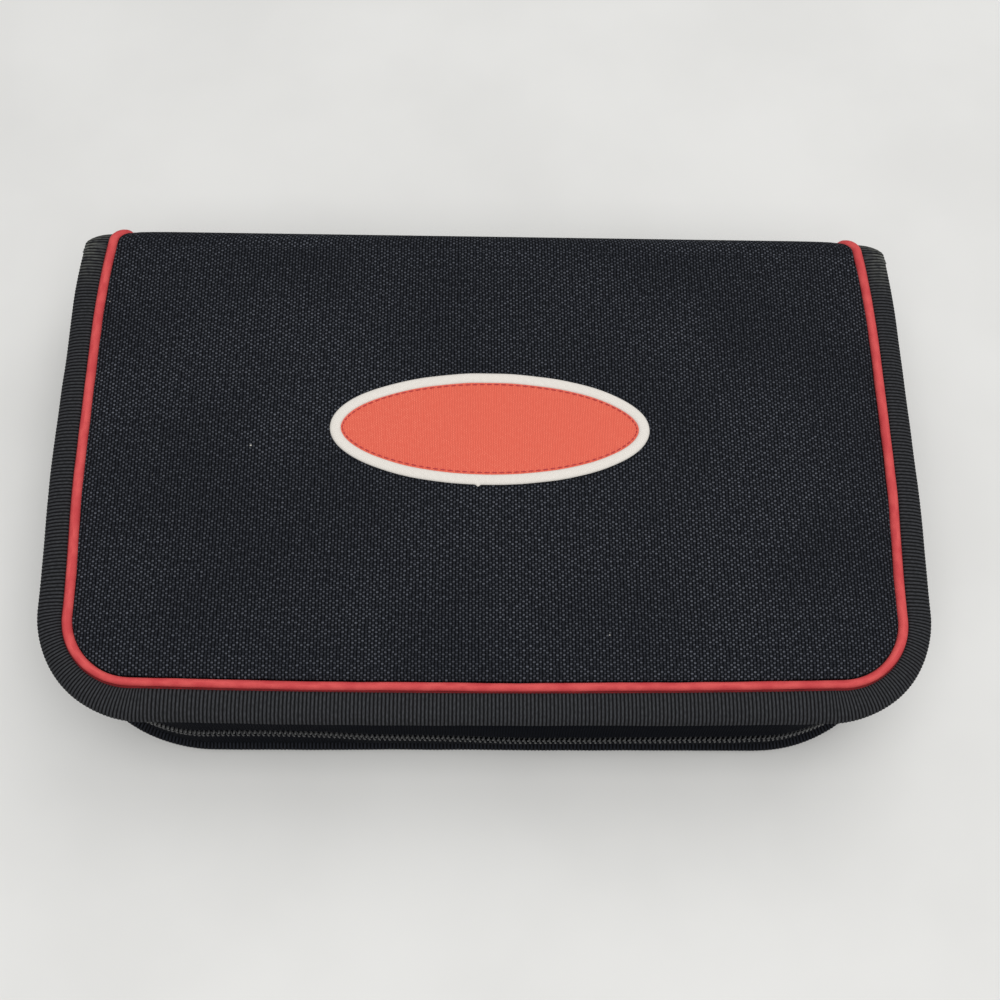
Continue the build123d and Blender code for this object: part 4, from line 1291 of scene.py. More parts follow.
@dataclass
class Spine:
    """The narrow back: cloth, piping and band that run on from one cover over both folds to the other."""

    cover: PaddedCover
    lead: float = 3.2
    samples: int = 30
    cover_depth: float = 0.9
    cloth_thickness: float = 0.3
    swell_height: float = 0.35
    swell_reach: float = 9.0
    sunk_reach: float = 2.2
    lining_depth: float = 5.7
    leaf_squeeze: float = 0.45
    fold_lining_depths: tuple[float, float] = (3.15, 3.5)
    fold_lining_reach: tuple[float, float] = (-0.45, 0.6)
    fold_lining_inset: float = 3.0
    worn_slope: float = 0.8

    @property
    def arc(self) -> float:
        """Length of one fold's quarter round."""
        return CASE.fold_radius * math.pi / 2

    @property
    def panel_length(self) -> float:
        """Height of the flat spine between the folds."""
        return CASE.height - 2 * CASE.fold_radius

    @property
    def middle(self) -> float:
        """Length along the line to the middle of the flat spine."""
        return self.arc + self.panel_length / 2

    def from_cover(self, along: Array | float) -> Array:
        """Lengths along the line counted from the nearer cover."""
        return np.minimum(along, 2 * self.middle - np.asarray(along, float))

    def stations(self, stretch: Stretch, step: float | None = None) -> Array:
        """Lengths along the line that one part is built at."""
        start = {
            Stretch.LOWER_FOLD: -self.lead,
            Stretch.PANEL: self.arc,
            Stretch.UPPER_FOLD: self.arc + self.panel_length,
        }[stretch]
        size = self.panel_length if stretch is Stretch.PANEL else self.arc + self.lead
        count = self.samples if step is None else max(int(round(size / step)) + 1, 2)
        return np.linspace(start, start + size, count)

    def point(self, along: float, depth: float) -> tuple[float, float]:
        """Place (y, z) at a length along the line and a depth inside the outer face."""
        upper = along > self.middle
        s = 2 * self.middle - along if upper else along
        if s <= 0:
            y, z = CASE.fold_y + s, depth
        elif s < self.arc:
            turn = s / CASE.fold_radius
            reach = CASE.fold_radius - depth
            y, z = CASE.fold_y + reach * math.sin(turn), CASE.fold_radius - reach * math.cos(turn)
        else:
            y, z = CASE.half_depth - depth, CASE.fold_radius + s - self.arc
        return y, (CASE.height - z if upper else z)

    def row(self, along: float, xs: Array, depths: Array) -> list[tuple[float, float, float]]:
        """Places across the spine at a length along the line, each at its own depth."""
        return [(x, *self.point(float(along), float(depth))) for x, depth in zip(xs, depths)]

    def half_at(self, along: Array | float, line: EdgeLine, end: float) -> Array:
        """Half length of the spine at a length along the line.

        Args:
            along: Lengths along the line.
            line: The cover's line that it continues.
            end: Half length on the flat spine.

        Returns:
            Half lengths that leave the covers in line with the cover's own edge and draw in over the fold.
        """
        s = self.from_cover(along)
        start = line.half_width - line.ease
        slope = float(line.eased(CASE.cover_back)[1])
        on = np.clip(s, 0, self.arc)
        drawn = slope * (np.minimum(s, 0) + on - on**2 / (2 * self.arc))
        rest = start - end - slope * self.arc / 2
        return start - drawn - rest * np.sin(on / self.arc * math.pi / 2) ** 2

    def sunk(self, along: Array | float) -> Array:
        """How far the fold's cloth starts below the cover's, so that the two cross without a step."""
        s = self.from_cover(along)
        return self.cover.fold_sink * (1 - smooth_step(s, -self.lead, -self.lead + self.sunk_reach))

    def swell(self, along: Array) -> Array:
        """How far the padded spine stands proud of flat."""
        inside = self.panel_length / 2 - np.abs(along - self.middle)
        return self.swell_height * smooth_step(inside, 0.0, self.swell_reach)

    def settle(
        self, obj: bpy.types.Object, stretch: Stretch, finish: Finish, nodes: Sequence[str] = ()
    ) -> bpy.types.Object:
        """Dresses one piece: on the flat spine it rides on the spine and stands for nodes there; over a fold it rides
        on no body and its place is baked into its mesh.
        """
        if stretch is Stretch.PANEL:
            return finish_piece(obj, finish, "spine", nodes)
        finish_piece(obj, finish, None, ())
        if stretch is Stretch.LOWER_FOLD:
            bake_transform(obj)
        else:
            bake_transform(obj)
        return obj

    def two_faced(
        self, name: str, stations: Array, columns: Array, wide: float, rows: list, sharp: float | None = None
    ) -> bpy.types.Object:
        """Skins rows that run out along a sheet's outer face and back along its inner one.

        Args:
            name: The piece's name.
            stations: What v says at each row.
            columns: Places across, from -1 to 1.
            wide: What u says at the right end.
            rows: The places of each row.
            sharp: As for mesh_object.

        Returns:
            The piece.
        """
        around = np.concatenate((columns, columns[::-1], columns[:1])) * wide
        return skin(name, np.array(rows), grid_uv(stations, around)[:, :, ::-1], sharp=sharp)

    def build_cloth(self, stretch: Stretch) -> bpy.types.Object:
        """Builds one part of the cover cloth between the two pipings, padded on the flat spine."""
        stations = self.stations(stretch)
        columns = np.linspace(-1, 1, 61)
        cover = self.cover
        half = self.half_at(stations, cover.seam, CASE.spine_seam) - cover.panel_gap
        deepest = cover.pad_depth if stretch is Stretch.PANEL else self.cover_depth
        rows = []
        for s, width, swell, sunk in zip(stations, half, self.swell(stations), self.sunk(stations)):
            xs = columns * width
            edge = np.clip(1 - (width - np.abs(xs)) / cover.crown_width, 0, 1)
            roll = cover.crown_drop * (1 - cover.crown_loss) * (1 - np.sqrt(1 - edge**2))
            outer = roll - swell * (1 - edge) + sunk
            inner = np.maximum(deepest, outer + self.cloth_thickness)
            rows.append(self.row(s, np.concatenate((xs, xs[::-1])), np.concatenate((outer, inner[::-1]))))
        wide = float(self.half_at(0.0, cover.seam, CASE.spine_seam)) - cover.panel_gap
        piece = self.two_faced(f"spine_cloth_{stretch.value}", stations + CASE.fold_y, columns, wide, rows, 60)
        self.settle(piece, stretch, Finishes.COVER, ("spine_cover_fabric", "spine_foam_pad"))
        if stretch is Stretch.PANEL:
            return piece
        return declare_sheet(piece)

    def build_band(self, stretch: Stretch, hand: Hand) -> bpy.types.Object:
        """Builds one part of the grosgrain band at one end of the spine."""
        stations = self.stations(stretch, CASE.rib / 4)
        cover = self.cover
        profile = cover.band_points()
        out = edge_normals(profile)
        edge = self.half_at(stations, cover.edge, CASE.spine_half)
        seam = self.half_at(stations, cover.seam, CASE.spine_seam)
        close = self.leaf_squeeze * smooth_step(self.from_cover(stations), -self.lead, 0.5)
        rows = []
        for s, half, reach, sunk, squeeze, rib in zip(stations, edge, seam, self.sunk(stations), close, ribs(stations)):
            scale = (half - reach - cover.flange) / profile[:, 0].max()
            low = (profile[:, 1] - np.maximum(profile[:, 1] - 4.2, 0.0) * squeeze) * (1 - cover.edge_loss)
            depths = low + rib * out[:, 1] + sunk * np.where(profile[:, 1] < 4.6, 1, -1)
            xs = hand.value * (half - profile[:, 0] * scale - rib * out[:, 0] - sunk * out[:, 0])
            rows.append(self.row(s, xs, depths))
        uv = grid_uv(stations, lengths_along(profile, closed=True))
        band = skin(f"spine_band_{stretch.value}_{hand.word}", np.array(rows), uv)
        x, y, _ = vertex_places(band).T
        worn = 0.3 if stretch is Stretch.PANEL else 0.8
        mark_wear(band, worn * smooth_step(np.abs(x) + self.worn_slope * (y - CASE.cover_back), *CASE.worn_reach))
        return self.settle(band, stretch, Finishes.BAND, ("spine_edge_binding",))

    def build_piping(self, stretch: Stretch, hand: Hand) -> bpy.types.Object:
        """Builds one part of the piping at one end of the spine; at the base it stays above the floor."""
        stations = self.stations(stretch)
        halves = self.half_at(stations, self.cover.seam, CASE.spine_seam)
        levels = np.full(len(stations), CASE.piping_level * (1 - self.cover.cord_loss))
        levels += (CASE.piping_radius + CASE.floor_gap - levels) * (1 - smooth_step(stations, 0.0, CASE.fold_radius))
        line = [(hand.value * a, *self.point(float(s), float(d))) for s, d, a in zip(stations, levels, halves)]
        name = f"spine_piping_{stretch.value}_{hand.word}"
        piping = tube(name, np.array(line), CASE.piping_radius - self.sunk(stations), 16)
        return self.settle(piping, stretch, Finishes.PIPING, ("spine_piping",))

    def build_lining(self) -> bpy.types.Object:
        """Builds the lined board of the spine between its folds, with rounded ends."""
        half = CASE.spine_half - 1.6
        outer = CASE.half_depth - self.cover.pad_depth - 0.1
        inner = CASE.half_depth - self.lining_depth
        face = [(inner, z) for z in (7.4, 14.0, 22.5, 31.0, 37.6)]
        ends = [(inner + 0.4, 38.8), (outer, 38.7), (outer, 22.5)]
        section = smooth_curve([(outer, 6.3), (inner + 0.4, 6.2), *face, *ends], 48)
        xs = np.linspace(-half, half, 70)
        points = np.array([[(x, y, z) for y, z in section] for x in xs])
        lining = skin("spine_lining_sheet", points, grid_uv(xs, np.arange(len(section) + 1) * 1.4))
        return finish_piece(lining, Finishes.LINING, "spine", ("spine_lining", "spine_stiffener"))

    def build_fold_lining(self, stretch: Stretch) -> bpy.types.Object:
        """Builds the lining that covers the inside of one fold, from the cover's board to the spine's."""
        before, after = self.fold_lining_reach
        stations = np.linspace(before, self.arc + after, 20)
        if stretch is Stretch.UPPER_FOLD:
            stations = 2 * self.middle - stations[::-1]
        halves = self.half_at(stations, self.cover.edge, CASE.spine_half) - self.fold_lining_inset
        columns = np.linspace(-1, 1, 50)
        across = np.concatenate((columns, columns[::-1]))
        depths = np.repeat(self.fold_lining_depths, len(columns))
        rows = [self.row(s, across * half, depths) for s, half in zip(stations, halves)]
        strip = self.two_faced(f"spine_lining_{stretch.value}", stations, columns, float(halves.mean()), rows)
        return self.settle(strip, stretch, Finishes.LINING)

    def build(self) -> None:
        """Builds the cloth, both bands and both pipings in their three parts, and the linings."""
        self.build_fold_lining(Stretch.LOWER_FOLD)
        self.build_fold_lining(Stretch.UPPER_FOLD)
        for stretch in Stretch:
            self.build_cloth(stretch)
            for hand in Hand:
                self.build_band(stretch, hand)
                self.build_piping(stretch, hand)
        self.build_lining()


# ---------------------------------------------------------------- zip
@dataclass
class ZipGusset:
    """Cloth gusset and nylon coil that close three sides of the case."""

    front: float = 85.9
    corner: float = 50.0
    back: float = 75.5
    foot_level: float = 6.3
    lean: float = 1.3
    tape_top: float = 19.6
    tape_half: float = 0.42
    tape_step: float = 1.1
    # How the soft front wanders: an even part, bulges as (size, x, width) and two places where it draws back
    even_bulge: float = 0.1
    bulges: tuple[tuple[float, float, float], ...] = ((1.1, 22.0, 34.0), (0.5, 66.0, 20.0))
    left_draw: tuple[float, float, float] = (-0.9, 30.0, 60.0)
    right_draw: tuple[float, float, float] = (0.7, 84.0, 104.0)
    tremble: Wave = (0.25, 16.0, 4.0)
    softness: Wave = (0.28, 21.0, 11.0)
    end_turn: float = 6.5
    coil_inset: float = 5.5
    coil_back: float = 68.0
    coil_level: float = 20.95
    coil_reach: tuple[float, float] = (0.855, 1.35)
    tooth: float = 1.5
    samples_a_tooth: int = 14
    wire: float = 0.34

    def line(self, back: float) -> EdgeLine:
        """The line the gusset follows, up to a y at the back."""
        return EdgeLine(front=self.front, corner=self.corner, back=back, ease=0.0)

    def sway(self, places: Array) -> Array:
        """How far the soft gusset wanders out of its line at each place, along the front most."""
        x = places[:, 0]
        out = sum((size * np.exp(-(((x - at) / width) ** 2)) for size, at, width in self.bulges), self.even_bulge)
        left, *left_reach = self.left_draw
        right, *right_reach = self.right_draw
        out += left * smooth_step(-x, *left_reach) - right * smooth_step(x, *right_reach)
        return smooth_step(-places[:, 1], 58.0, 78.0) * (out + wander(x, self.tremble))

    def build_tape(self, side: Side) -> bpy.types.Object:
        """Builds one half of the gusset from its seam in the cover to its coil."""
        foot, lean, half = self.foot_level, self.lean, self.tape_half
        section = smooth_curve(
            (
                (lean + 1.4, foot + 0.05),
                (lean - half, foot + 0.15),
                (lean * 0.62 - half - 0.25, foot + 3.4),
                (lean * 0.25 - half - 0.1, foot + 8.4),
                (-half, self.tape_top),
                (half, self.tape_top),
                (lean * 0.25 + half - 0.1, foot + 8.4),
                (lean * 0.62 + half - 0.25, foot + 3.6),
                (lean + half + 0.1, foot + 0.7),
                (lean + 1.6, foot + 0.5),
            ),
            34,
        )
        rise = np.clip((section[:, 1] - foot) / (self.tape_top - foot), 0, 1)

        def shape(along: Array, places: Array) -> tuple[Array, Array]:
            """Waves the tape's free edge and turns its ends in behind the spine's edge."""
            turned = self.end_turn * smooth_step(places[:, 1], 66.0, 75.4) ** 1.2
            out = -self.sway(places)[:, None] * rise**0.8 + turned[:, None]
            out = out + wander(along, self.softness)[:, None] * np.sin(math.pi * rise)
            return out, np.zeros_like(out)

        line = self.line(self.back)
        centred = section + np.array((self.coil_inset, 0.0))
        tape = line.sweep(f"{side.place}_gusset_tape", centred, self.tape_step, side, shape)
        finish_piece(tape, Finishes.TAPE, side.value, (f"{side.place}_zip_tape",))
        length = float(line.sampled(self.tape_step)[2][-1])
        return declare_sheet(tape)

    def build_coil(self, side: Side) -> bpy.types.Object:
        """Builds one coil of teeth as a wound filament sewn to the tape's edge."""
        places, normals, along = self.line(self.coil_back).sampled(self.tooth / self.samples_a_tooth)
        phase = 2 * math.pi * along / self.tooth + (0 if side is Side.BASE else math.pi)
        reach_in, reach_up = self.coil_reach
        inset = self.coil_inset - self.sway(places) + reach_in * np.cos(phase)
        level = side.level(self.coil_level + reach_up * np.sin(phase))
        centre = np.column_stack((places - normals * inset[:, None], level))
        coil = tube(f"{side.place}_coil_teeth", centre, self.wire, 5)
        return finish_piece(coil, Finishes.COIL, side.value, (f"{side.place}_zip_coil",))

    def build(self) -> None:
        """Builds both halves and dresses the metal parts."""
        for side in Side:
            self.build_tape(side)
            self.build_coil(side)
            dress_node(f"{side.place}_zip_stops", Finishes.ZINC, 0.25)
        dress_node("zip_slider", Finishes.ZINC, 0.4)
        dress_node("zip_pull", Finishes.ZINC, 0.3)


# ---------------------------------------------------------------- oval patch
@dataclass
class OvalPatch:
    """Bare embroidered patch: a coral twill field inside a merrowed edge, sewn to the lid."""

    middle: tuple[float, float] = (0.3, 9.2)
    half_length: float = 49.0
    half_width: float = 18.7
    # The merrowed edge: its section as (inset, height), its yarn and the knot on its front
    edge_width: float = 3.2
    edge_height: float = 0.95
    edge_section: Section = (
        (0.0, 0.15), (0.05, 0.7), (0.7, 1.15), (1.8, 1.3), (2.9, 1.15), (3.5, 0.7), (3.5, 0.2), (1.8, 0.05)
    )
    edge_rest: float = 1.7
    yarn: float = 0.62
    yarn_height: float = 0.09
    yarn_slant: float = 0.35
    wobble: Wave = (0.16, 9.0, 21.0)
    knot_x: float = -3.7
    knot_size: float = 0.6
    knot_reach: float = 1.6
    # The field: how high it lies and how much of that its rim loses
    field_inset: float = 2.4
    field_height: float = 0.6
    field_loss: float = 0.35
    # The back stitches
    stitch: float = 1.7
    stitch_gap: float = 0.6
    stitch_inset: float = 3.85
    stitch_rows: int = 7
    thread: float = 0.17
    thread_sides: int = 6
    thread_sink: float = 0.08
    thread_arch: float = 0.12

    def heights(self, pad: bpy.types.Object, places: Array) -> Array:
        """Heights of the lid's cloth, in millimetres, at places counted from the patch's middle."""
        heights = []
        for x, y in places + np.array(self.middle):
            hit, where, _, _ = pad.ray_cast(Vector((x * MM, y * MM, 0.08)), Vector((0, 0, -1)))
            heights.append(where.z / MM if hit else CASE.height)
        return np.array(heights)

    def ring(self, inset: float, turns: Array) -> tuple[Array, Array]:
        """Places and outward normals of the oval moved in by a distance in millimetres."""
        x, y = self.half_length * np.cos(turns), self.half_width * np.sin(turns)
        normal = unit(np.column_stack((np.cos(turns) / self.half_length, np.sin(turns) / self.half_width)))
        return np.column_stack((x, y)) - normal * inset, normal

    def even_turns(self, step: float) -> Array:
        """Angles that space points evenly round the oval."""
        dense = np.linspace(0, 2 * math.pi, 4001)
        along = lengths_along(self.ring(0.0, dense)[0])
        return np.interp(np.linspace(0, along[-1], int(along[-1] / step), endpoint=False), along, dense)

    def build_edge(self, pad: bpy.types.Object) -> bpy.types.Object:
        """Builds the merrowed edge: a rounded rope of slanted yarn over the oval's rim, knotted at its front."""
        step = self.yarn / 4
        turns = self.even_turns(step)
        length = np.arange(len(turns) + 1) * step
        scale = np.array((self.edge_width / 3.5, self.edge_height / 1.3))
        inset, level = (smooth_curve(self.edge_section, 24) * scale).T
        floor = self.heights(pad, self.ring(self.edge_rest, turns)[0])
        rim, normals = self.ring(0.0, turns)
        tail = self.knot_size * np.exp(-(((rim[:, 0] - self.knot_x) / 0.6) ** 2)) * (rim[:, 1] < 0)
        knot = tail[:, None] * np.maximum(0.0, 1 - inset / self.knot_reach)
        slant = 2 * math.pi * (length[:-1, None] + inset * self.yarn_slant) / self.yarn
        rib = self.yarn_height * (0.5 + 0.5 * np.cos(slant)) * np.minimum(1.0, level / 0.6)
        drawn = inset - wander(length[:-1], self.wobble)[:, None] - knot - rib * 0.4
        flat = rim[:, None] - normals[:, None] * drawn[:, :, None] + np.array(self.middle)
        points = np.dstack((flat, floor[:, None] + level + rib))
        uv = grid_uv(length, np.arange(len(inset) + 1) * 0.45)
        edge = skin("badge_merrowed_edge", points, uv, wrap_rows=True)
        return finish_piece(edge, Finishes.MERROW, "lid", ("badge_border",))

    def build_field(self, pad: bpy.types.Object) -> bpy.types.Object:
        """Builds the bare twill field, slightly cushioned, that lies on the lid's cloth."""
        turns = np.linspace(0, 2 * math.pi, 160, endpoint=False)
        reach = np.array((self.half_length, self.half_width)) - self.field_inset
        oval = np.column_stack((np.cos(turns), np.sin(turns))) * reach
        shares = np.linspace(0, 1, 20)[1:]
        flat = (shares[:, None, None] * oval).reshape(-1, 2)
        rise = np.repeat(self.field_height * (1 - self.field_loss * shares**6), len(turns))
        points = np.column_stack((flat + np.array(self.middle), self.heights(pad, flat) + rise))
        faces = [*ring_faces(len(shares), len(turns)), range(len(turns))]
        ground = mesh_object("badge_twill_field", points, faces, face_uv(points, faces))
        return finish_piece(ground, Finishes.FIELD, "lid", ("badge_field",))

    def build_stitches(self, pad: bpy.types.Object) -> bpy.types.Object:
        """Builds the line of back stitches inside the edge as one piece."""
        step, rows, sides = 0.35, self.stitch_rows, self.thread_sides
        turns = self.even_turns(step)
        places, _ = self.ring(self.stitch_inset, turns)
        length = np.arange(len(turns)) * step
        arch = np.sin(np.linspace(0, math.pi, rows))
        size = (self.thread * (0.45 + 0.55 * arch))[:, None]
        around = 2 * math.pi * np.arange(sides) / sides
        points, faces = [], []
        for start in np.arange(0.0, length[-1] - self.stitch, self.stitch + self.stitch_gap):
            read = np.linspace(start, start + self.stitch, rows)
            line = np.column_stack([np.interp(read, length, places[:, k]) for k in (0, 1)])
            across = unit(np.gradient(line, axis=0)[:, ::-1] * (-1, 1))
            flat = line[:, None] + across[:, None] * (size * np.cos(around))[:, :, None] + np.array(self.middle)
            level = self.heights(pad, line) + self.field_height - self.thread_sink + self.thread_arch * arch
            first = len(points)
            points += np.dstack((flat, level[:, None] + size * np.sin(around))).reshape(-1, 3).tolist()
            last = len(points) - sides
            faces += [*ring_faces(rows, sides, first), range(first, first + sides)[::-1], range(last, last + sides)]
        thread = mesh_object("badge_stitches", points, faces, face_uv(points, faces))
        return finish_piece(thread, Finishes.STITCHES, "lid", ())

    def build(self, pad: bpy.types.Object) -> None:
        """Builds the patch on the lid's padded face."""
        self.build_field(pad)
        self.build_edge(pad)
        self.build_stitches(pad)


# ---------------------------------------------------------------- what the base holds
class Square(Enum):
    """Colours of the board's squares."""

    PLAIN = "A9B8A4"
    CORAL = "C9695A"
    SLATE = "6E87A0"
    AMBER = "CFA552"

    @property
    def finish(self) -> MouldedPlastic:
        """Printed ABS: one flat colour with a dull moulded shine."""
        return MouldedPlastic(f"printed_abs_square_{self.name.lower()}", self.value, 0.45, fleck=self.value)


@dataclass
class FoldingBoard:
    """Two moulded halves on a hinge, ridged into squares, with coloured insets in a layout of rings and dots."""

    columns: int = 15
    pitch: float = 14.5
    ridge: float = 1.0
    hinge_y: float = 73.1
    hinge_rim: float = 2.8
    inset_height: float = 0.35
    inset_gap: float = 0.15
    inset_rounding: tuple[float, float] = (0.14, 0.12)

    def square(self, column: int, row: int) -> Square:
        """Colour of a square of the unfolded board, counted from its centre."""
        c, r = abs(column - 7), abs(row - 7)
        if (c, r) == (0, 0) or {c, r} == {0, 5}:
            return Square.AMBER
        if c + r == 10 and c and r:
            return Square.CORAL
        if c + r == 6 and c and r and c != r:
            return Square.SLATE
        return Square.PLAIN

    def build_insets(self, name: str, body: str, rows: Sequence[int], floor: float, up: int) -> bpy.types.Object:
        """Builds one half's coloured insets as one piece with a material for each colour.

        Args:
            name: The piece's name.
            body: The body it rides on.
            rows: Rows of the unfolded board, from the hinge outwards.
            floor: Z of the tray's floor.
            up: 1 where the squares face up at rest, -1 where they face down.

        Returns:
            The piece.
        """
        points, faces, tones = [], [], []
        half = (self.pitch - self.ridge) / 2 - self.inset_gap
        inward, drop = self.inset_rounding
        levels = ((0.0, half), (self.inset_height - drop, half), (self.inset_height, half - inward))
        colours = list(Square)
        for k, row in enumerate(rows):
            y = self.hinge_y - self.hinge_rim - (k + 0.5) * self.pitch
            for column in range(self.columns):
                x = (column - (self.columns - 1) / 2) * self.pitch
                start = len(points)
                for level, reach in levels:
                    for sx, sy in ((-1, -1), (1, -1), (1, 1), (-1, 1)):
                        points.append((x + sx * reach, y + sy * reach, floor + up * level))
                sides = ring_faces(3, 4, start)
                faces += [*sides, range(start + 8, start + 12), range(start, start + 4)[::-1]]
                tones += [colours.index(self.square(column, row))] * (len(sides) + 2)
        piece = mesh_object(name, points, faces, np.zeros((sum(map(len, faces)), 2)), sharp=25)
        for colour in colours:
            piece.data.materials.append(colour.finish.material())
        piece.data.polygons.foreach_set("material_index", tones)
        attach(piece, body)
        LOG.info("piece %s", name)
        return piece

    def build(self) -> None:
        """Dresses both halves and lays their insets."""
        for half in ("lower", "upper"):
            dress_node(f"board_{half}_half", Finishes.BOARD, 0.5)
            dress_node(f"board_{half}_grid", Finishes.RIDGES, 0.18)
        dress_node("board_hinge_pins", Finishes.STEEL)
        dress_node("board_rivets", Finishes.RIVET, 0.3)
        self.build_insets("board_lower_squares", "base", range(8)[::-1], 8.8, 1)
        self.build_insets("board_upper_squares", "board", range(8, 15), 18.1, -1)


@dataclass
class RackRow:
    """Four moulded racks in two rows, each row held down by woven elastic."""

    strap_width: float = 10.0
    strap_thickness: float = 0.5
    strap_cores: int = 14
    core_height: float = 0.09
    corner: float = 1.2

    def strap_path(self, low: Array, high: Array) -> Array:
        """Middle line (y, z) of a strap up from the base, over the racks and down, with rounded corners."""
        y0, y1 = low[1] + self.strap_thickness / 2, high[1] - self.strap_thickness / 2
        z0, z1 = low[2], high[2] - self.strap_thickness / 2
        turn = np.linspace(0, math.pi / 2, 6)[1:]
        early, late = self.corner * (1 - np.cos(turn)), self.corner * (1 - np.sin(turn))
        parts = (
            (y0, np.linspace(z0, z1 - self.corner, 10)),
            (y0 + early, z1 - late),
            (np.linspace(y0 + self.corner, y1 - self.corner, 16)[1:], z1),
            (y1 - late, z1 - early),
            (y1, np.linspace(z1 - self.corner, z0, 10)[1:]),
        )
        return np.concatenate([np.column_stack(np.broadcast_arrays(y, z)) for y, z in parts])

    def build_strap(self, hand: Hand) -> bpy.types.Object:
        """Builds one elastic band over a row of racks, with its rubber ribs."""
        low, high = packed_box("rack_elastic_straps")
        line = self.strap_path(low, high)
        step = np.gradient(line, axis=0)
        normal = unit(np.column_stack((-step[:, 1], step[:, 0])))
        across = np.linspace(-0.5, 0.5, 29)
        cores = self.core_height * np.cos(2 * math.pi * across * self.strap_cores)
        half = self.strap_thickness / 2
        lift = np.concatenate((half + cores, np.full(len(across), -half)))
        flat = line[:, None] + normal[:, None] * lift[None, :, None]
        x = np.concatenate((across, across[::-1])) * self.strap_width
        middle = hand.value * (abs(low[0]) - self.strap_width / 2)
        points = np.dstack((np.broadcast_to(middle + x, flat.shape[:2]), flat))
        uv = grid_uv(lengths_along(line), np.append(x, x[0]))
        strap = skin(f"rack_strap_{hand.word}", points, uv)
        return finish_piece(strap, Finishes.ELASTIC, "base", ("rack_elastic_straps",))

    def build(self) -> None:
        """Dresses the racks and straps them down."""
        for number in range(1, 5):
            dress_node(f"tile_rack_{number}", Finishes.RACK, 0.45)
        for hand in Hand:
            self.build_strap(hand)


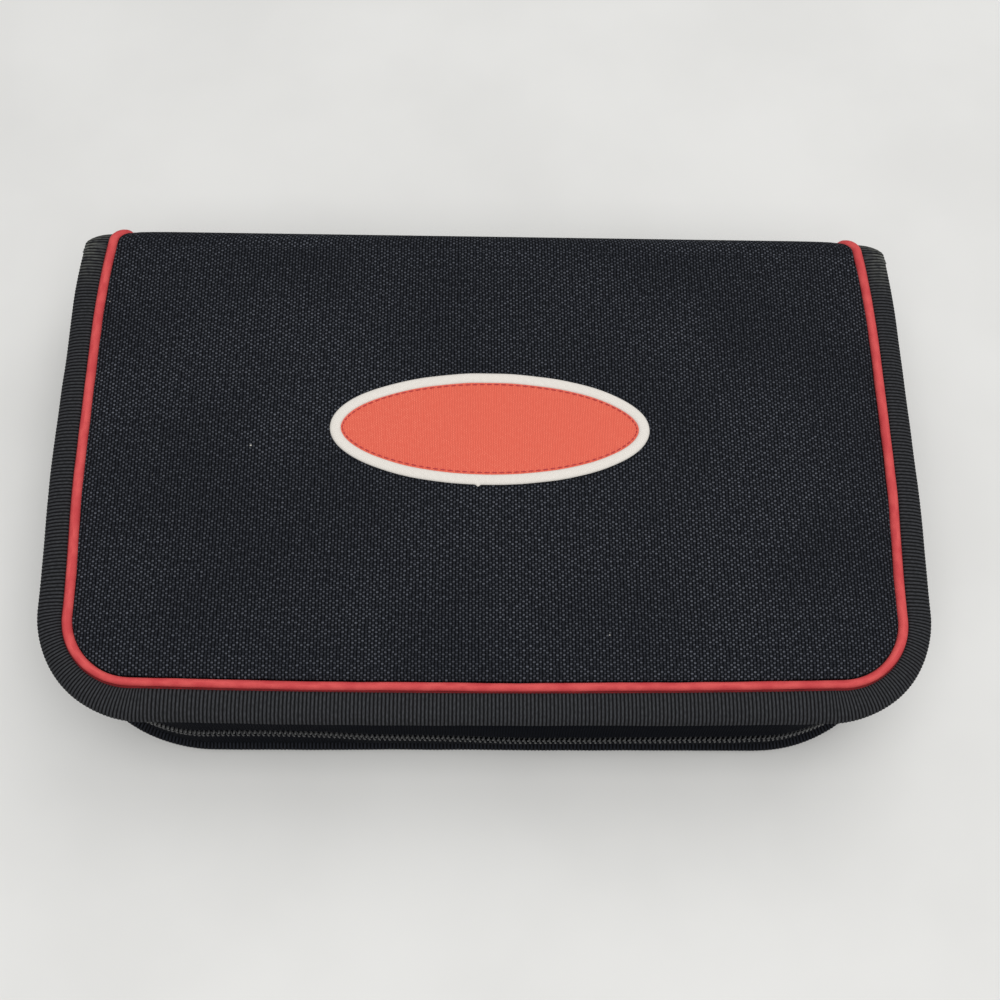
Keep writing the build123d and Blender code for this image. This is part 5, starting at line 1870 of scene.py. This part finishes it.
# ---------------------------------------------------------------- what the lid holds
@dataclass
class LidPockets:
    """Two flat pockets of knitted cloth in the lid, with a bag of tiles in one and a score pad in the other."""

    deep_rounding: float = 3.0
    flat_rounding: float = 2.0
    deep_from: float = 8.0
    corner_share: float = 0.55
    thickness: float = 0.45
    crease: float = 0.25
    mouth: float = 0.8
    mouth_reach: float = 3.0
    bag_ease: tuple[float, float, float] = (0.35, 0.35, 0.3)
    bag_rounding: float = 2.6
    bag_cuts: int = 27
    bag_dent: float = 0.12

    def pocket_sheet(self, node: str, name: str, seed: float) -> bpy.types.Object:
        """Builds one pocket as a sheet drawn over what it holds, open towards the spine.

        Args:
            node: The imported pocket.
            name: The piece's name.
            seed: Varies its creases.

        Returns:
            The piece.
        """
        low, high = packed_box(node)
        depth = high[2] - low[2] - 0.3
        top = high[2] - 0.1
        ends = self.corner_share * (self.deep_rounding if depth > self.deep_from else self.flat_rounding)
        turn = np.linspace(0, math.pi / 2, 9)
        roll, rise = ends * (1 - np.cos(turn)), np.sin(turn)
        ys = np.concatenate((low[1] + roll, np.linspace(low[1] + ends, high[1], 34)[1:]))
        y_rise = np.concatenate((rise, np.ones(33)))
        half, middle = (high[0] - low[0]) / 2, (high[0] + low[0]) / 2
        xs = np.concatenate((-half + roll, np.linspace(-half + ends, half - ends, 44)[1:-1], (half - roll)[::-1]))
        x_rise = np.concatenate((rise, np.ones(42), rise[::-1]))
        reach = np.minimum(x_rise[None], y_rise[:, None])
        flat = grid_uv(ys, xs)[:, :, ::-1].reshape(-1, 2)
        crease = ripple(flat, 26.0, seed) + 0.5 * ripple(flat, 9.0, seed + 1)
        z = top - depth * reach + self.crease * crease.reshape(reach.shape) * reach
        points = np.dstack((*np.broadcast_arrays(middle + xs[None], ys[:, None]), z))
        fall = depth * (1 - reach)
        uv = points[:, :, :2] + np.dstack((np.sign(xs) * fall, -fall * (y_rise < 0.999)[:, None]))
        sheet = skin(name, points, uv, wrap_columns=False)
        cloth = sheet.modifiers.new("cloth_thickness", "SOLIDIFY")
        cloth.thickness = self.thickness * MM
        cloth.offset = 0.0
        finish_piece(sheet, Finishes.MESH, "lid", (node,))
        return declare_sheet(sheet)

    def mouth_band(self, node: str, name: str) -> bpy.types.Object:
        """Builds the elastic edge along a pocket's mouth."""
        low, high = packed_box(node)
        y = high[1] - 0.2
        side = np.linspace(high[2] - 0.6, low[2] + self.mouth_reach, 12)
        left = [(low[0] + 0.35, y, z) for z in side]
        front = [(x, y, low[2] + 0.35) for x in np.linspace(low[0] + self.mouth_reach, high[0] - self.mouth_reach, 60)]
        right = [(high[0] - 0.35, y, z) for z in side[::-1]]
        band = tube(name, np.array(left + front + right), self.mouth, 10)
        return finish_piece(band, Finishes.ELASTIC, "lid", ())

    def build_bag(self) -> bpy.types.Object:
        """Builds the tile bag as a filled cloth bag that takes the shape of the tiles in it."""
        low, high = packed_box("tile_bag")
        size, middle = (high - low) / 2 - np.array(self.bag_ease), (high + low) / 2
        work = bmesh.new()
        bmesh.ops.create_cube(work, size=2.0)
        bmesh.ops.subdivide_edges(work, edges=work.edges, cuts=self.bag_cuts, use_grid_fill=True)
        points = np.array([v.co for v in work.verts]) * size
        faces = [[v.index for v in f.verts] for f in work.faces]
        work.free()
        inner = np.clip(points, self.bag_rounding - size, size - self.bag_rounding)
        out = points - inner
        length = np.maximum(np.linalg.norm(out, axis=1), 1e-6)[:, None]
        points = inner + out / length * np.minimum(length, self.bag_rounding)
        points[:, 2] += np.sign(points[:, 2]) * self.bag_dent * ripple(points[:, :2], 12.0, 31.0)
        points += middle
        around = np.column_stack((points[:, 0], points[:, 1] + points[:, 2]))
        bag = mesh_object("tile_bag_cloth", points, faces, face_uv(around, faces))
        finish_piece(bag, Finishes.BAG, "lid", ("tile_bag",))
        return bag

    def build(self) -> None:
        """Builds the pockets and what they hold."""
        for kind, seed in (("tile", 41.0), ("pad", 51.0)):
            self.pocket_sheet(f"lid_{kind}_pocket", f"{kind}_pocket_cloth", seed)
            self.mouth_band(f"lid_{kind}_pocket", f"{kind}_pocket_mouth")
        self.build_bag()
        dress_node("letter_tiles", Finishes.TILE, 0.5)
        dress_node("score_pad", Finishes.PAPER)


# ---------------------------------------------------------------- studio
@dataclass
class Studio:
    """Pale table top, soft daylight from above and the photograph's camera."""

    elevation: float = 68.065
    turn: float = -5.108
    roll: float = 5.215
    distance: float = 451.6
    focus_pixels: float = 1338.11
    picture_pixels: float = 1000.0
    sensor: float = 36.0
    target: tuple[float, float] = (4.856, 4.068)
    floor_half: float = 1500.0
    floor_level: float = -0.02
    # Each light's name, place in metres, size in metres and power in watts
    lights: tuple[tuple[str, tuple[float, float, float], float, float], ...] = (
        ("ceiling_light", (0.0, -0.38, 1.2), 1.2, 11.2),
        ("window_light", (0.5, 0.9, 1.2), 1.2, 7.2),
    )
    sky_colour: str = "E6E8EA"
    sky_strength: float = 0.5

    def build_camera(self) -> None:
        """Places the camera at the photograph's angle."""
        e, a, r = (math.radians(v) for v in (self.elevation, self.turn, self.roll))
        back = Vector((math.sin(a) * math.cos(e), -math.cos(a) * math.cos(e), math.sin(e)))
        right = (-back).cross(Vector((0, 0, 1))).normalized()
        up = right.cross(-back)
        across = right * math.cos(r) + up * math.sin(r)
        above = -right * math.sin(r) + up * math.cos(r)
        data = bpy.data.cameras.new("camera")
        data.sensor_width = self.sensor
        data.lens = self.focus_pixels / self.picture_pixels * self.sensor
        data.clip_start, data.clip_end = 0.01, 20.0
        camera = link(bpy.data.objects.new("camera", data))
        place = Vector((self.target[0] * MM, self.target[1] * MM, 0)) + back * self.distance * MM
        camera.matrix_world = Matrix.Translation(place) @ Matrix((across, above, back)).transposed().to_4x4()
        bpy.context.scene.camera = camera

    def build_floor(self) -> None:
        """Builds the table top."""
        corners = np.array([(-1, -1), (1, -1), (1, 1), (-1, 1)]) * self.floor_half
        points = np.column_stack((corners, np.full(4, self.floor_level)))
        floor = mesh_object("table_top", points, [(0, 1, 2, 3)], corners)
        floor.data.materials.append(Finishes.TABLE.material())

    def build_lights(self) -> None:
        """Builds a broad soft light above the front, a second one behind, and an even sky."""
        for name, place, size, power in self.lights:
            data = bpy.data.lights.new(name, "AREA")
            data.shape, data.size, data.energy = "SQUARE", size, power
            lamp = link(bpy.data.objects.new(name, data))
            lamp.location = place
            lamp.rotation_euler = (-Vector(place)).to_track_quat("-Z", "Y").to_euler()
        world = bpy.data.worlds.new("soft_room")
        bpy.context.scene.world = world
        world.use_nodes = True
        tree = world.node_tree
        tree.nodes.clear()
        sky = add_node(tree, "Background", {"Color": to_linear(self.sky_colour), "Strength": self.sky_strength})
        add_node(tree, "OutputWorld", None, {"Surface": sky})

    def build(self) -> None:
        """Builds the camera, table top and lights, and sets the plain view."""
        bpy.context.scene.view_settings.view_transform = "Standard"
        self.build_camera()
        self.build_floor()
        self.build_lights()


def main() -> None:
    """Builds the studio and then the case from its covers inwards."""
    logging.basicConfig(level=logging.INFO, format="%(name)s: %(message)s")
    Studio().build()
    PaddedCover(Side.BASE).build()
    lid = PaddedCover(Side.LID)
    lid_face = lid.build()
    Spine(lid).build()
    ZipGusset().build()
    OvalPatch().build(lid_face)
    FoldingBoard().build()
    RackRow().build()
    LidPockets().build()


if __name__ == "__main__":
    main()
